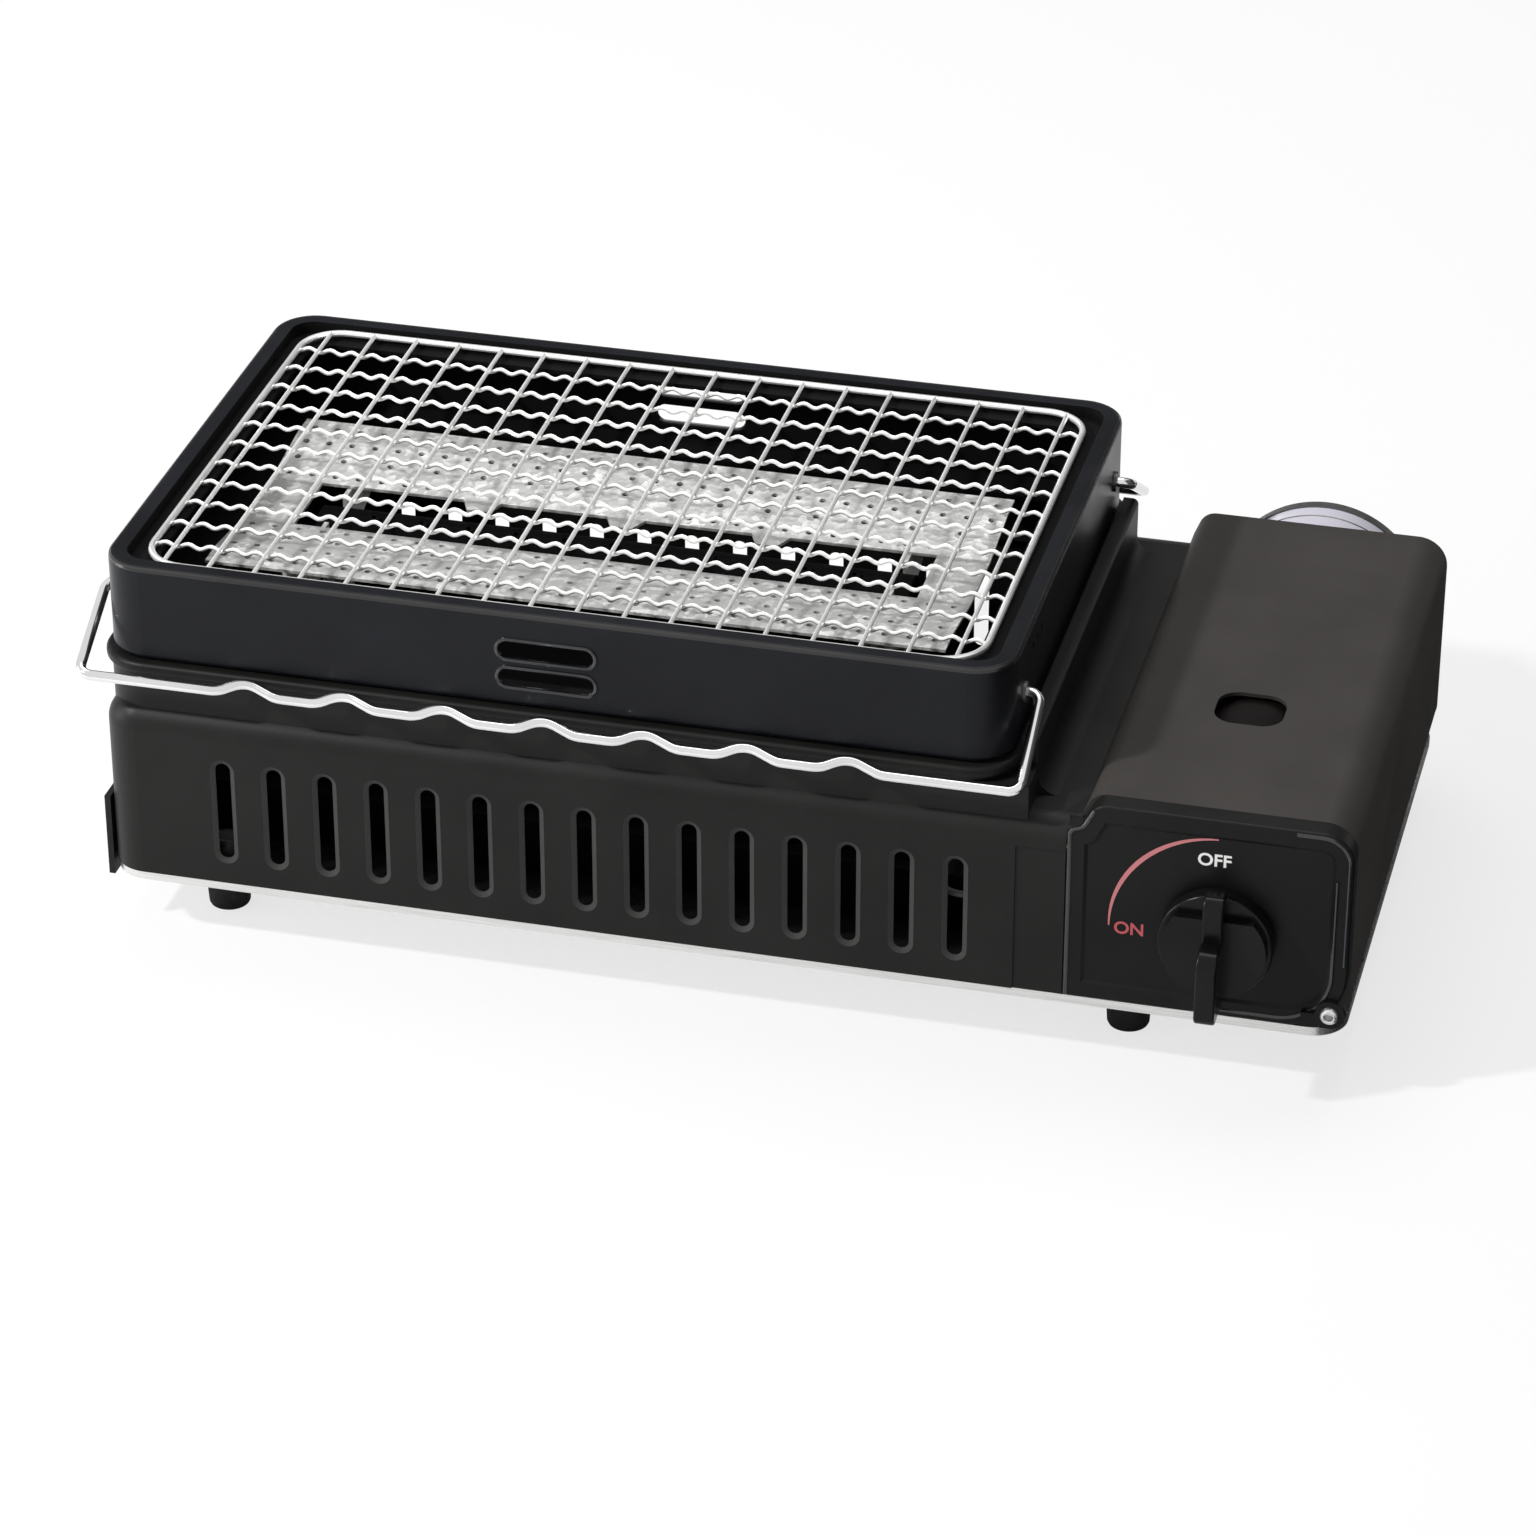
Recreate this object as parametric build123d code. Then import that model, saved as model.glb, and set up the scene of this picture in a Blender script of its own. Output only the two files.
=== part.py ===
"""Portable gas grill: a burner box under a lift-off tray and net, beside a covered gas bay. Millimetres.

X runs along the grill, Y to the back and Z up. The pieces are laid out about the middle of the body's
footprint, then moved so that the origin lies under the middle of the whole grill at table level.
"""
import os
from math import cos, pi, radians, sin

from build123d import *

# Body, from the table up
body_width = 403.5
body_depth = 199.0
foot_height = 22.0
base_edge = 3.0
shell_height = 61.0
seat_rise = 15.0
tray_height = 33.0
sheet = 1.2
corner_radius = 12.0
shoulder_radius = 9.0
base_setback = 0.5
bay_width = 82.75
overrun = 20.0
running_gap = 0.08
lift_gap = 0.2
clear_gap = 0.3

# Air slots and the shallow groove beside the control panel
slot_count = 15
slot_length = 35.0
rear_slot_length = 29.5
slot_width = 5.0
slot_flare = 1.6
slot_flare_depth = 0.9
slot_foot = 9.0
slot_lead = 41.0
slot_tail = 18.7
groove_width = 16.0
groove_depth = 0.5

# Seat for the tray, and the raised rim on its gas bay side
seat_bearing = 3.2
seat_lip = 2.5
lip_overhang = 1.8
lip_height = 4.0
lip_edge_radius = 1.5
bay_rim_setback = 1.6
bay_rim_width = 5.0
bay_rim_rise = 20.0
bay_rim_radius = 2.0
bay_rim_end_gap = 13.0
trough_radius = 7.0

# Left end plate
end_plate_thickness = 2.0
end_plate_height = 29.0
end_plate_end_gap = 6.0
end_plate_drop = 6.0

# Feet and their screws
foot_top_radius = 8.0
foot_bottom_radius = 6.8
foot_side_inset = 28.1
foot_left_inset = 30.8
foot_right_inset = 72.3
foot_screw_radius = 2.0
foot_screw_head_radius = 4.0
foot_screw_head_height = 2.0
foot_screw_depth = 10.0

# Heat shield floor, its screws and the drip tray
shield_end_gap = 7.0
shield_foot_gap = 2.4
shield_rise = 18.8
shield_flange = 12.0
base_screw_radius = 1.5
base_screw_head_radius = 3.0
base_screw_head_height = 1.5
base_screw_inset = 30.0
drip_side_gap = 7.0
drip_height = 8.0
drip_radius = 10.0

# Grill tray
tray_inset = 1.1
tray_bay_gap = 25.65
tray_side_gap = 4.5
tray_radius = 14.0
tray_wall = 1.5
tray_foot_radius = 2.5
tray_foot_flange = 14.0
rim_width = 6.0
rim_edge_radius = 1.8
ledge_drop = 4.3
ledge_width = 8.0
vent_length = 32.0
vent_height = 7.2
vent_pitch = 9.8
vent_rise = 15.4
side_hole_radius = 1.2
side_hole_count = 3
side_hole_pitch = 6.2
side_hole_start = 12.5
side_hole_rise = 9.6

# Net
net_end_gap = 4.5
net_side_gap = 1.0
net_radius = 14.0
net_frame_radius = 1.5
net_bar = 2.0
net_wires_across = 18
net_wires_along = 11

# Skewer rests and the bushings they turn in
rest_wire_radius = 1.75
rest_side_gap = 5.2
rest_arm = 35.2
rest_bend_radius = 4.0
rest_hang_angle = 31.0
rest_stub = 4.0
rest_pivot_inset = 22.2
rest_pivot_rise = 15.0
notch_count = 7
notch_pitch = 32.5
notch_height = 4.6
notch_rise_run = 8.0
notch_fall_run = 11.0
notch_bend_radius = 9.0
bushing_radius = 3.4
bushing_thickness = 1.0

# Radiant plate
plate_end_gap = 25.0
plate_shift = 4.5
plate_strip = 10.9
plate_slope_run = 26.5
plate_thickness = 1.0
plate_drop = 18.1
plate_valley = 3.5
burner_slot_end = 17.5
burner_slot_width = 30.0
tab_count = 3
tab_pitch = 49.0
tab_width = 13.0
tab_tip_width = 7.0
tab_length = 6.6
perforation_radius = 1.1
perforation_pitch = 8.1

# Burner, its brackets, mixing tube and jet
burner_radius = 9.5
burner_wall = 1.0
burner_end_gap = 4.5
burner_drop = 22.9
port_count = 11
port_row_inset = 19.0
port_radius = 0.8
port_boss_radius = 2.3
port_boss_height = 0.8
port_angle = 15.0
bracket_inset = 5.0
bracket_thickness = 1.5
bracket_leg_width = 28.0
bracket_leg_rise = 52.0
bracket_arm_height = 8.0
mixing_radius = 8.0
mixing_wall = 1.0
mixing_rise = 44.0
mixing_bend = 20.0
mixing_riser_inset = 30.0
mixing_mouth_radius = 10.5
mixing_mouth_length = 8.0
jet_radius = 4.0
jet_length = 8.0
jet_nose_radius = 2.0
jet_nose_length = 5.0
jet_bore_radius = 0.4
jet_holder_radius = 6.0
jet_holder_length = 18.0

# Control panel
panel_depth = 7.2
panel_left_overlap = 6.0
panel_step_width = 4.0
panel_shoulder_run = 4.5
panel_shoulder_radius = 5.0
panel_top_radius = 10.0
panel_bottom_radius = 20.0
panel_edge_radius = 0.9
panel_border = 6.5
panel_recess = 0.7
panel_slope = 55.0

# Knob and valve spindle, with the igniter cam
knob_inset = 40.75
knob_rise = 28.6
knob_radius = 18.0
knob_gap = 1.0
knob_disc = 5.0
knob_face = 3.0
knob_chord_rise = 11.0
knob_fin_thickness = 6.5
knob_fin_half_length = 20.0
knob_fin_low = 3.5
knob_reach = 21.5
knob_fin_nose_radius = 5.0
knob_edge_radius = 0.8
spindle_radius = 3.0
spindle_grip = 9.0
spindle_tail = 6.0
cam_radius = 9.0
cam_lift = 4.0
cam_turn = 95.0
cam_thickness = 3.0
cam_setback = 2.8
cam_points = 24

# Regulator, igniter and gas pipe
regulator_width = 41.0
regulator_height = 42.0
regulator_depth = 12.0
regulator_setback = 7.3
regulator_left_inset = 20.0
regulator_foot = 11.0
regulator_edge_radius = 2.0
cap_radius = 5.0
cap_height = 6.0
post_radius = 4.0
post_inset = 6.0
magnet_radius = 16.0
magnet_bore_radius = 10.0
magnet_thickness = 4.5
piezo_radius = 2.7
piezo_length = 16.0
piezo_tip_gap = 1.0
plunger_radius = 1.8
plunger_length = 12.0
plunger_sink = 3.0
piezo_saddle_width = 8.0
pipe_radius = 2.2
pipe_wall = 0.6
pipe_bend = 10.0
pipe_grommet_gap = 0.4
lead_radius = 1.1
lead_bend = 8.0
lead_turn_inset = 48.0
insulator_radius = 3.2
insulator_length = 18.0
electrode_radius = 0.8
electrode_rise = 2.2
electrode_gap = 3.0
electrode_bend = 1.7
electrode_setback = 24.0

# Cartridge and its cradle
can_radius = 33.2
can_length = 182.0
can_inset = 43.75
can_rise = 37.0
can_shoulder_radius = 6.0
can_wall = 0.5
can_neck_radius = 12.0
can_seam_radius = 33.8
can_seam_length = 4.0
can_seam_wall = 2.0
can_dish = 3.0
valve_cup_radius = 17.0
valve_cup_length = 8.9
valve_stem_radius = 2.4
valve_stem_length = 6.0
magnet_gap = 0.6
cradle_setback = 13.0
cradle_spread = 20.0
cradle_rail = 3.0
cradle_floor = 1.0

# Cartridge cover and its hinge
cover_rise = 8.7
cover_left_inset = 2.7
cover_lean = 3.5
cover_left_radius = 6.0
cover_right_radius = 10.0
cover_foot_gap = 0.4
finger_width = 22.0
finger_depth = 20.0
finger_radius = 7.0
finger_inset = 44.5
finger_setback = 70.5
hinge_inset = 4.75
hinge_rise = 6.5
hinge_pin_radius = 1.5
hinge_head_radius = 3.0
hinge_head_height = 1.4
hinge_pin_tail = 4.0
lug_thickness = 1.6
lug_reach = 9.0
rear_lug_gap = 7.0

# Levels and places that follow from the sizes above
base_z = foot_height
floor_z = base_z + sheet
shell_z = base_z + base_edge
deck_z = shell_z + shell_height
seat_z = deck_z + seat_rise
rim_z = seat_z + tray_height
body_x0 = -body_width / 2
body_x1 = body_width / 2
front_y = -body_depth / 2
rear_y = body_depth / 2
shell_x1 = body_x1 - bay_width
tray_width = shell_x1 - tray_bay_gap - body_x0 - tray_inset
tray_depth = body_depth - 2 * tray_side_gap
net_width = tray_width - 2 * rim_width - 2 * net_end_gap
net_depth = tray_depth - 2 * rim_width - 2 * net_side_gap
plate_length = tray_width - 2 * plate_end_gap
burner_slot_length = plate_length - 2 * burner_slot_end
burner_length = burner_slot_length - 2 * burner_end_gap
bracket_span = burner_length - 2 * bracket_inset
port_pitch = (burner_length - 2 * port_row_inset) / (port_count - 1)
shield_length = tray_width - 2 * shield_end_gap
drip_length = plate_length
bay_rim_length = tray_depth - 2 * bay_rim_end_gap
end_plate_length = body_depth - 2 * end_plate_end_gap
foot_span_y = body_depth - 2 * foot_side_inset
shield_depth = foot_span_y - 2 * foot_screw_head_radius - 2 * shield_foot_gap
drip_depth = shield_depth - 2 * drip_side_gap
tray_x = body_x0 + tray_inset + tray_width / 2
tray_z = seat_z + lift_gap
plate_x = tray_x - plate_shift
plate_z = rim_z - plate_drop
slot_edge_z = plate_z - plate_valley
slot_half = burner_slot_width / 2
fold_y = slot_half + plate_slope_run
plate_half = fold_y + plate_strip
burner_z = rim_z - burner_drop - burner_radius
shield_z = floor_z + shield_rise
mixing_z = floor_z + mixing_rise
panel_x0 = shell_x1 - panel_left_overlap
panel_back_y = front_y + panel_depth
cover_z = deck_z + cover_rise
knob_x = body_x1 - knob_inset
knob_z = shell_z + knob_rise
can_x = body_x1 - can_inset
can_z = base_z + can_rise
hinge_x = body_x1 - hinge_inset
hinge_z = shell_z + hinge_rise
regulator_x0 = shell_x1 + regulator_left_inset
regulator_z0 = shell_z + regulator_foot
regulator_y0 = front_y + sheet + regulator_setback
regulator_y1 = regulator_y0 + regulator_depth
can_front_y = regulator_y1 + magnet_thickness + magnet_gap + valve_cup_length
can_rear_y = can_front_y + can_length + can_seam_length
cam_y = front_y + sheet + cam_setback + cam_thickness / 2
slot_first_x = body_x0 + slot_lead
slot_pitch = (panel_x0 - groove_width - slot_tail - slot_first_x) / (slot_count - 1)
pipe_z = mixing_z
pipe_y = (regulator_y0 + regulator_y1) / 2
jet_x = shell_x1 - sheet - jet_holder_length
mouth_x = jet_x - jet_length - jet_nose_length - clear_gap
plunger_tip_x = knob_x - cam_radius - piezo_tip_gap
rear_lug_y = rear_y - sheet - rear_lug_gap
riser_reach = seat_lip - lip_overhang
riser_half = tray_depth / 2 + riser_reach
rim_x0 = tray_x + tray_width / 2 + bay_rim_setback
rim_x1 = rim_x0 + bay_rim_width
pivot_y = tray_depth / 2 - rest_pivot_inset
pivot_z = tray_z + rest_pivot_rise
rest_half = tray_width / 2 + rest_side_gap
net_z = rim_z + lift_gap - ledge_drop + lift_gap + net_frame_radius

# The origin lies under the middle of the whole grill
origin_x = (tray_x - rest_half - rest_wire_radius + body_x1) / 2
origin_y = (can_rear_y + front_y - knob_reach) / 2


def box_between(x0, x1, y0, y1, z0, z1):
    """A block given by its two corners."""
    return Pos((x0 + x1) / 2, (y0 + y1) / 2, (z0 + z1) / 2) * Box(x1 - x0, y1 - y0, z1 - z0)


def slab(width, depth, radius, z0, z1, x=0, y=0):
    """An upright block with rounded corners in plan."""
    return Pos(x, y, z0) * extrude(RectangleRounded(width, depth, radius), z1 - z0)


def rod_y(x, z, radius, y0, y1):
    """A round bar along Y."""
    return Pos(x, (y0 + y1) / 2, z) * Rot(90, 0, 0) * Cylinder(radius, y1 - y0)


def rod_x(y, z, radius, x0, x1):
    """A round bar along X."""
    return Pos((x0 + x1) / 2, y, z) * Rot(0, 90, 0) * Cylinder(radius, x1 - x0)


def rod_z(x, y, radius, z0, z1):
    """A round bar along Z."""
    return Pos(x, y, (z0 + z1) / 2) * Cylinder(radius, z1 - z0)


def plate_xz(points, y0, y1):
    """An outline in X and Z, from y0 to y1."""
    face = make_face(Polyline(*points, close=True))
    return Pos(0, y1, 0) * extrude(Plane.XZ * face, y1 - y0)


def plate_yz(points, x0, x1):
    """An outline in Y and Z, from x0 to x1."""
    face = make_face(Polyline(*points, close=True))
    return Pos(x0, 0, 0) * extrude(Plane.YZ * face, x1 - x0)


def round_corners(face, corners):
    """Round corners of a flat outline, each given as a point and its radius."""
    for point, radius in corners:
        vertex = face.vertices().sort_by_distance(Vector(point[0], point[1], 0))[0]
        face = fillet(vertex, radius)
    return face


def wire_along(points, bend, radius):
    """A round wire along straight runs joined by bends."""
    path = FilletPolyline(*points, radius=bend)
    start = Plane(path @ 0, z_dir=path % 0)
    return sweep(start * Circle(radius), path)


def tube_along(points, bend, radius, wall):
    """A round pipe along straight runs joined by bends."""
    path = FilletPolyline(*points, radius=bend)
    start = Plane(path @ 0, z_dir=path % 0)
    return sweep(start * (Circle(radius) - Circle(radius - wall)), path)


def joined(shapes):
    """Fuse a list of shapes into one."""
    total = shapes[0]
    for shape in shapes[1:]:
        total = total + shape
    return total


def group(shapes):
    """Keep a list of alike solids together as separate solids."""
    return Compound(children=[shape.solid() for shape in shapes])


def shell_block(inset):
    """The burner box with rounded left corners and shoulders, drawn in by the inset."""
    block = box_between(body_x0 + inset, shell_x1 - inset, front_y + inset, rear_y - inset,
                        shell_z, deck_z - inset)
    block = fillet(block.edges().filter_by(Axis.Z).group_by(Axis.X)[0], corner_radius - inset)
    top = block.faces().sort_by(Axis.Z)[-1]
    shoulders = [edge for edge in top.edges() if edge.center().X < shell_x1 - shoulder_radius]
    return fillet(shoulders, shoulder_radius - inset)


def bay_rim():
    """The raised rim on the gas bay side, running out into the trough at its foot."""
    top_z = deck_z + bay_rim_rise
    trough_x = rim_x1 + trough_radius + bay_rim_radius
    foot_z = deck_z - sheet / 2
    face = make_face(Polyline((rim_x0, foot_z), (rim_x0, top_z), (rim_x1, top_z), (rim_x1, deck_z),
                              (trough_x, deck_z), (trough_x, foot_z), close=True))
    face = round_corners(face, [((rim_x1, top_z), bay_rim_radius), ((rim_x1, deck_z), trough_radius)])
    return Pos(0, bay_rim_length / 2, 0) * extrude(Plane.XZ * face, bay_rim_length)


def cut_air_slots(shell):
    """The rows of air slots through the front and back walls, with their outer edges flared."""
    for order, wall_y, length in ((0, front_y, slot_length), (-1, rear_y, rear_slot_length)):
        slot = extrude(Plane.XZ * (Rot(0, 0, 90) * SlotOverall(length, slot_width)), 2 * sheet, both=True)
        slot_z = shell_z + slot_foot + length / 2
        shell = shell - [Pos(slot_first_x + index * slot_pitch, wall_y, slot_z) * slot
                         for index in range(slot_count)]
        wall = shell.faces().sort_by(Axis.Y)[order]
        shell = chamfer(wall.inner_wires().edges(), slot_flare, slot_flare_depth, reference=wall)
    return shell


def make_body_shell():
    shell = shell_block(0)
    hollow = shell_block(sheet) + box_between(body_x0 + corner_radius, shell_x1 - sheet, front_y + sheet,
                                              rear_y - sheet, shell_z - overrun, shell_z + sheet)
    shell = cut_air_slots(shell - hollow)
    riser_width = tray_width + 2 * riser_reach
    riser_radius = tray_radius + riser_reach
    riser_z = deck_z - shoulder_radius + sheet
    riser = slab(riser_width, 2 * riser_half, riser_radius, riser_z, seat_z, tray_x)
    lip = slab(tray_width + 2 * seat_lip, tray_depth + 2 * seat_lip, tray_radius + seat_lip,
               seat_z - lip_height, seat_z, tray_x)
    rounded = lip.faces().sort_by(Axis.Z)[-1].edges() + lip.faces().sort_by(Axis.Z)[0].edges()
    lip = fillet(rounded, lip_edge_radius)
    apron = box_between(rim_x0 - riser_radius, rim_x1, -riser_half, -bay_rim_length / 2 + sheet,
                        riser_z, seat_z - lip_height - sheet)
    inside = slab(riser_width - 2 * sheet, 2 * riser_half - 2 * sheet, riser_radius - sheet,
                  deck_z - overrun, seat_z - sheet, tray_x)
    well = slab(tray_width - 2 * seat_bearing, tray_depth - 2 * seat_bearing, tray_radius - seat_bearing,
                deck_z - overrun, seat_z + overrun, tray_x)
    shell = shell + riser + lip + bay_rim() + apron - inside - well
    groove = box_between(panel_x0 - groove_width, panel_x0, front_y - overrun, front_y + groove_depth,
                         shell_z - overrun, deck_z - shoulder_radius)
    panel_room = box_between(panel_x0 - clear_gap, shell_x1 + overrun, front_y - overrun,
                             panel_back_y + clear_gap, shell_z - overrun, seat_z)
    pipe_hole = rod_x(pipe_y, pipe_z, pipe_radius + pipe_grommet_gap, shell_x1 - overrun, shell_x1 + overrun)
    lead_hole = rod_x(cam_y, knob_z, lead_radius + pipe_grommet_gap, shell_x1 - overrun, shell_x1 + overrun)
    return shell - groove - panel_room - pipe_hole - lead_hole


def foot_places():
    """X and Y of each foot."""
    columns = (body_x0 + foot_left_inset, body_x1 - foot_right_inset)
    return [(x, side * foot_span_y / 2) for x in columns for side in (-1, 1)]


def base_screw_places():
    """X and Y of each screw that holds the heat shield to the base."""
    half = shield_length / 2 - base_screw_inset
    row = shield_depth / 2 - shield_flange / 2
    return [(tray_x + along * half, side * row) for along in (-1, 1) for side in (-1, 1)]


def make_base_plate():
    width = body_width - 2 * base_setback
    depth = body_depth - 2 * base_setback
    radius = corner_radius - base_setback
    pan = slab(width, depth, radius, base_z, shell_z)
    pan = pan - slab(width - 2 * sheet, depth - 2 * sheet, radius - sheet, floor_z, shell_z + overrun)
    foot_holes = [rod_z(x, y, foot_screw_radius, base_z - overrun, floor_z + overrun)
                  for x, y in foot_places()]
    screw_holes = [rod_z(x, y, base_screw_radius, base_z - overrun, floor_z + overrun)
                   for x, y in base_screw_places()]
    return pan - foot_holes - screw_holes


def make_left_end_plate():
    z0 = shell_z - end_plate_drop
    return box_between(body_x0 - end_plate_thickness, body_x0, -end_plate_length / 2, end_plate_length / 2,
                       z0, z0 + end_plate_height)


def make_rubber_feet():
    feet = []
    for x, y in foot_places():
        foot = Pos(x, y, foot_height / 2) * Cone(foot_bottom_radius, foot_top_radius, foot_height)
        hole = rod_z(x, y, foot_screw_radius, base_z - foot_screw_depth, base_z + overrun)
        feet.append(foot - hole)
    return group(feet)


def make_foot_screws():
    screws = []
    for x, y in foot_places():
        shank = rod_z(x, y, foot_screw_radius, base_z - foot_screw_depth, floor_z)
        head = rod_z(x, y, foot_screw_head_radius, floor_z, floor_z + foot_screw_head_height)
        screws.append(shank + head)
    return group(screws)


def make_heat_shield():
    x0 = tray_x - shield_length / 2
    x1 = tray_x + shield_length / 2
    half = shield_depth / 2
    top = box_between(x0, x1, -half, half, shield_z - sheet, shield_z)
    parts = [top]
    for side in (-1, 1):
        outer = side * half
        inner = side * (half - sheet)
        foot = side * (half - shield_flange)
        parts.append(box_between(x0, x1, min(outer, inner), max(outer, inner), floor_z, shield_z - sheet))
        parts.append(box_between(x0, x1, min(outer, foot), max(outer, foot), floor_z, floor_z + sheet))
    holes = [rod_z(x, y, base_screw_radius, base_z, floor_z + sheet + clear_gap)
             for x, y in base_screw_places()]
    return joined(parts) - holes


def make_base_screws():
    screws = []
    for x, y in base_screw_places():
        shank = rod_z(x, y, base_screw_radius, base_z, floor_z + sheet)
        head = rod_z(x, y, base_screw_head_radius, base_z - base_screw_head_height, base_z)
        screws.append(shank + head)
    return group(screws)


def make_drip_tray():
    pan = slab(drip_length, drip_depth, drip_radius, shield_z, shield_z + drip_height, plate_x)
    hollow = slab(drip_length - 2 * sheet, drip_depth - 2 * sheet, drip_radius - sheet,
                  shield_z + sheet, shield_z + overrun, plate_x)
    windows = []
    for side in (-1, 1):
        x = plate_x + side * bracket_span / 2
        windows.append(box_between(x - bracket_thickness, x + bracket_thickness,
                                   -bracket_leg_width / 2 - clear_gap, bracket_leg_width / 2 + clear_gap,
                                   shield_z - sheet, shield_z + sheet + clear_gap))
    return pan - hollow - windows


def plate_profile(drop):
    """Y and Z along the radiant plate's upper face from front to back, lowered by the drop."""
    strip_z = plate_z - drop
    edge_z = slot_edge_z - drop
    return [(-plate_half, strip_z), (-fold_y, strip_z), (-slot_half, edge_z),
            (slot_half, edge_z), (fold_y, strip_z), (plate_half, strip_z)]


def perforation_rows():
    """Y of the perforation rows on one half, and how many columns each row skips between holes."""
    strip_mid = fold_y + plate_strip / 2
    near_fold = fold_y - perforation_pitch / 2
    near_slot = slot_half + perforation_pitch / 2
    middle = (near_fold + near_slot) / 2
    return [(strip_mid, 1), (near_fold, 1), (middle, 2), (near_slot, 1)]


def make_radiant_plate():
    outline = plate_profile(0) + plate_profile(plate_thickness)[::-1]
    x0 = plate_x - plate_length / 2
    plate = plate_yz(outline, x0, x0 + plate_length)
    slot = box_between(plate_x - burner_slot_length / 2, plate_x + burner_slot_length / 2,
                       -slot_half, slot_half, slot_edge_z - overrun, plate_z)
    tabs = []
    for index in range(tab_count):
        x = plate_x + (index - (tab_count - 1) / 2) * tab_pitch
        tip_y = slot_half - tab_length
        tab = make_face(Polyline((x - tab_width / 2, slot_half), (x - tab_tip_width / 2, tip_y),
                                 (x + tab_tip_width / 2, tip_y), (x + tab_width / 2, slot_half), close=True))
        tabs.append(Pos(0, 0, slot_edge_z - plate_thickness) * extrude(tab, plate_thickness))
    plate = plate - slot + tabs
    columns = int(plate_length / perforation_pitch)
    first_x = plate_x - (columns - 1) * perforation_pitch / 2
    drills = []
    for row_y, step in perforation_rows():
        for column in range(0, columns, step):
            x = first_x + column * perforation_pitch
            for side in (-1, 1):
                drills.append(rod_z(x, side * row_y, perforation_radius,
                                    slot_edge_z - overrun, plate_z + overrun))
    return plate - drills


def make_burner_tube():
    x0 = plate_x - burner_length / 2
    x1 = plate_x + burner_length / 2
    tube = rod_x(0, burner_z, burner_radius, x0, x1)
    tube = tube - rod_x(0, burner_z, burner_radius - burner_wall, x0 + burner_wall, x1 - burner_wall)
    inlet_x = x1 - mixing_riser_inset
    inlet = rod_z(inlet_x, 0, mixing_radius - mixing_wall, burner_z - overrun, burner_z)
    bosses = []
    bores = []
    for index in range(port_count):
        x = plate_x + (index - (port_count - 1) / 2) * port_pitch
        turned = Pos(x, 0, burner_z) * Rot(port_angle, 0, 0)
        bosses.append(turned * rod_z(0, 0, port_boss_radius, burner_radius - burner_wall / 2,
                                     burner_radius + port_boss_height))
        bores.append(turned * rod_z(0, 0, port_radius, 0, burner_radius + overrun))
    return tube - inlet + bosses - bores


def make_burner_brackets():
    under = plate_profile(plate_thickness)
    arm_z = plate_z - plate_thickness - bracket_arm_height
    half = bracket_leg_width / 2
    neck_z = shield_z + bracket_leg_rise
    outline = under + [(plate_half, arm_z), (half, neck_z), (half, shield_z),
                       (-half, shield_z), (-half, neck_z), (-plate_half, arm_z)]
    slot = [(burner_radius + running_gap, burner_z), (burner_radius + running_gap, plate_z + overrun),
            (-burner_radius - running_gap, plate_z + overrun), (-burner_radius - running_gap, burner_z)]
    brackets = []
    for side in (-1, 1):
        x = plate_x + side * bracket_span / 2
        bracket = plate_yz(outline, x - bracket_thickness / 2, x + bracket_thickness / 2)
        bracket = bracket - rod_x(0, burner_z, burner_radius + running_gap, x - overrun, x + overrun)
        bracket = bracket - plate_yz(slot, x - overrun, x + overrun)
        bracket = bracket - rod_x(0, mixing_z, mixing_radius + clear_gap, x - overrun, x + overrun)
        brackets.append(bracket)
    return group(brackets)


def make_mixing_tube():
    riser_x = plate_x + burner_length / 2 - mixing_riser_inset
    points = [(mouth_x, 0, mixing_z), (riser_x, 0, mixing_z), (riser_x, 0, burner_z - burner_radius)]
    return tube_along(points, mixing_bend, mixing_radius, mixing_wall)


def make_mixing_mouth():
    ring = rod_x(0, mixing_z, mixing_mouth_radius, mouth_x - mixing_mouth_length, mouth_x)
    bore = rod_x(0, mixing_z, mixing_radius, mouth_x - overrun, mouth_x + overrun)
    window = box_between(mouth_x - 3 * mixing_mouth_length / 4, mouth_x - mixing_mouth_length / 4,
                         -mixing_mouth_radius / 2, mixing_mouth_radius / 2,
                         mixing_z, mixing_z + mixing_mouth_radius)
    return ring - bore - window


def make_gas_jet():
    body = rod_x(0, mixing_z, jet_radius, jet_x - jet_length, jet_x)
    nose_x = jet_x - jet_length - jet_nose_length / 2
    nose = Pos(nose_x, 0, mixing_z) * Rot(0, -90, 0) * Cone(jet_radius, jet_nose_radius, jet_nose_length)
    bore = rod_x(0, mixing_z, jet_bore_radius, mouth_x - overrun, jet_x + overrun)
    return body + nose - bore


def make_jet_holder():
    holder = rod_x(0, mixing_z, jet_holder_radius, jet_x, shell_x1 - sheet)
    inlet = rod_y(jet_x + jet_holder_length / 2, mixing_z, pipe_radius, -jet_holder_radius, 0)
    return holder - inlet


def make_gas_pipe():
    turn_x = jet_x + jet_holder_length / 2
    points = [(regulator_x0, pipe_y, pipe_z), (turn_x, pipe_y, pipe_z),
              (turn_x, -jet_holder_radius / 2, pipe_z)]
    return tube_along(points, pipe_bend, pipe_radius, pipe_wall)


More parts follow.
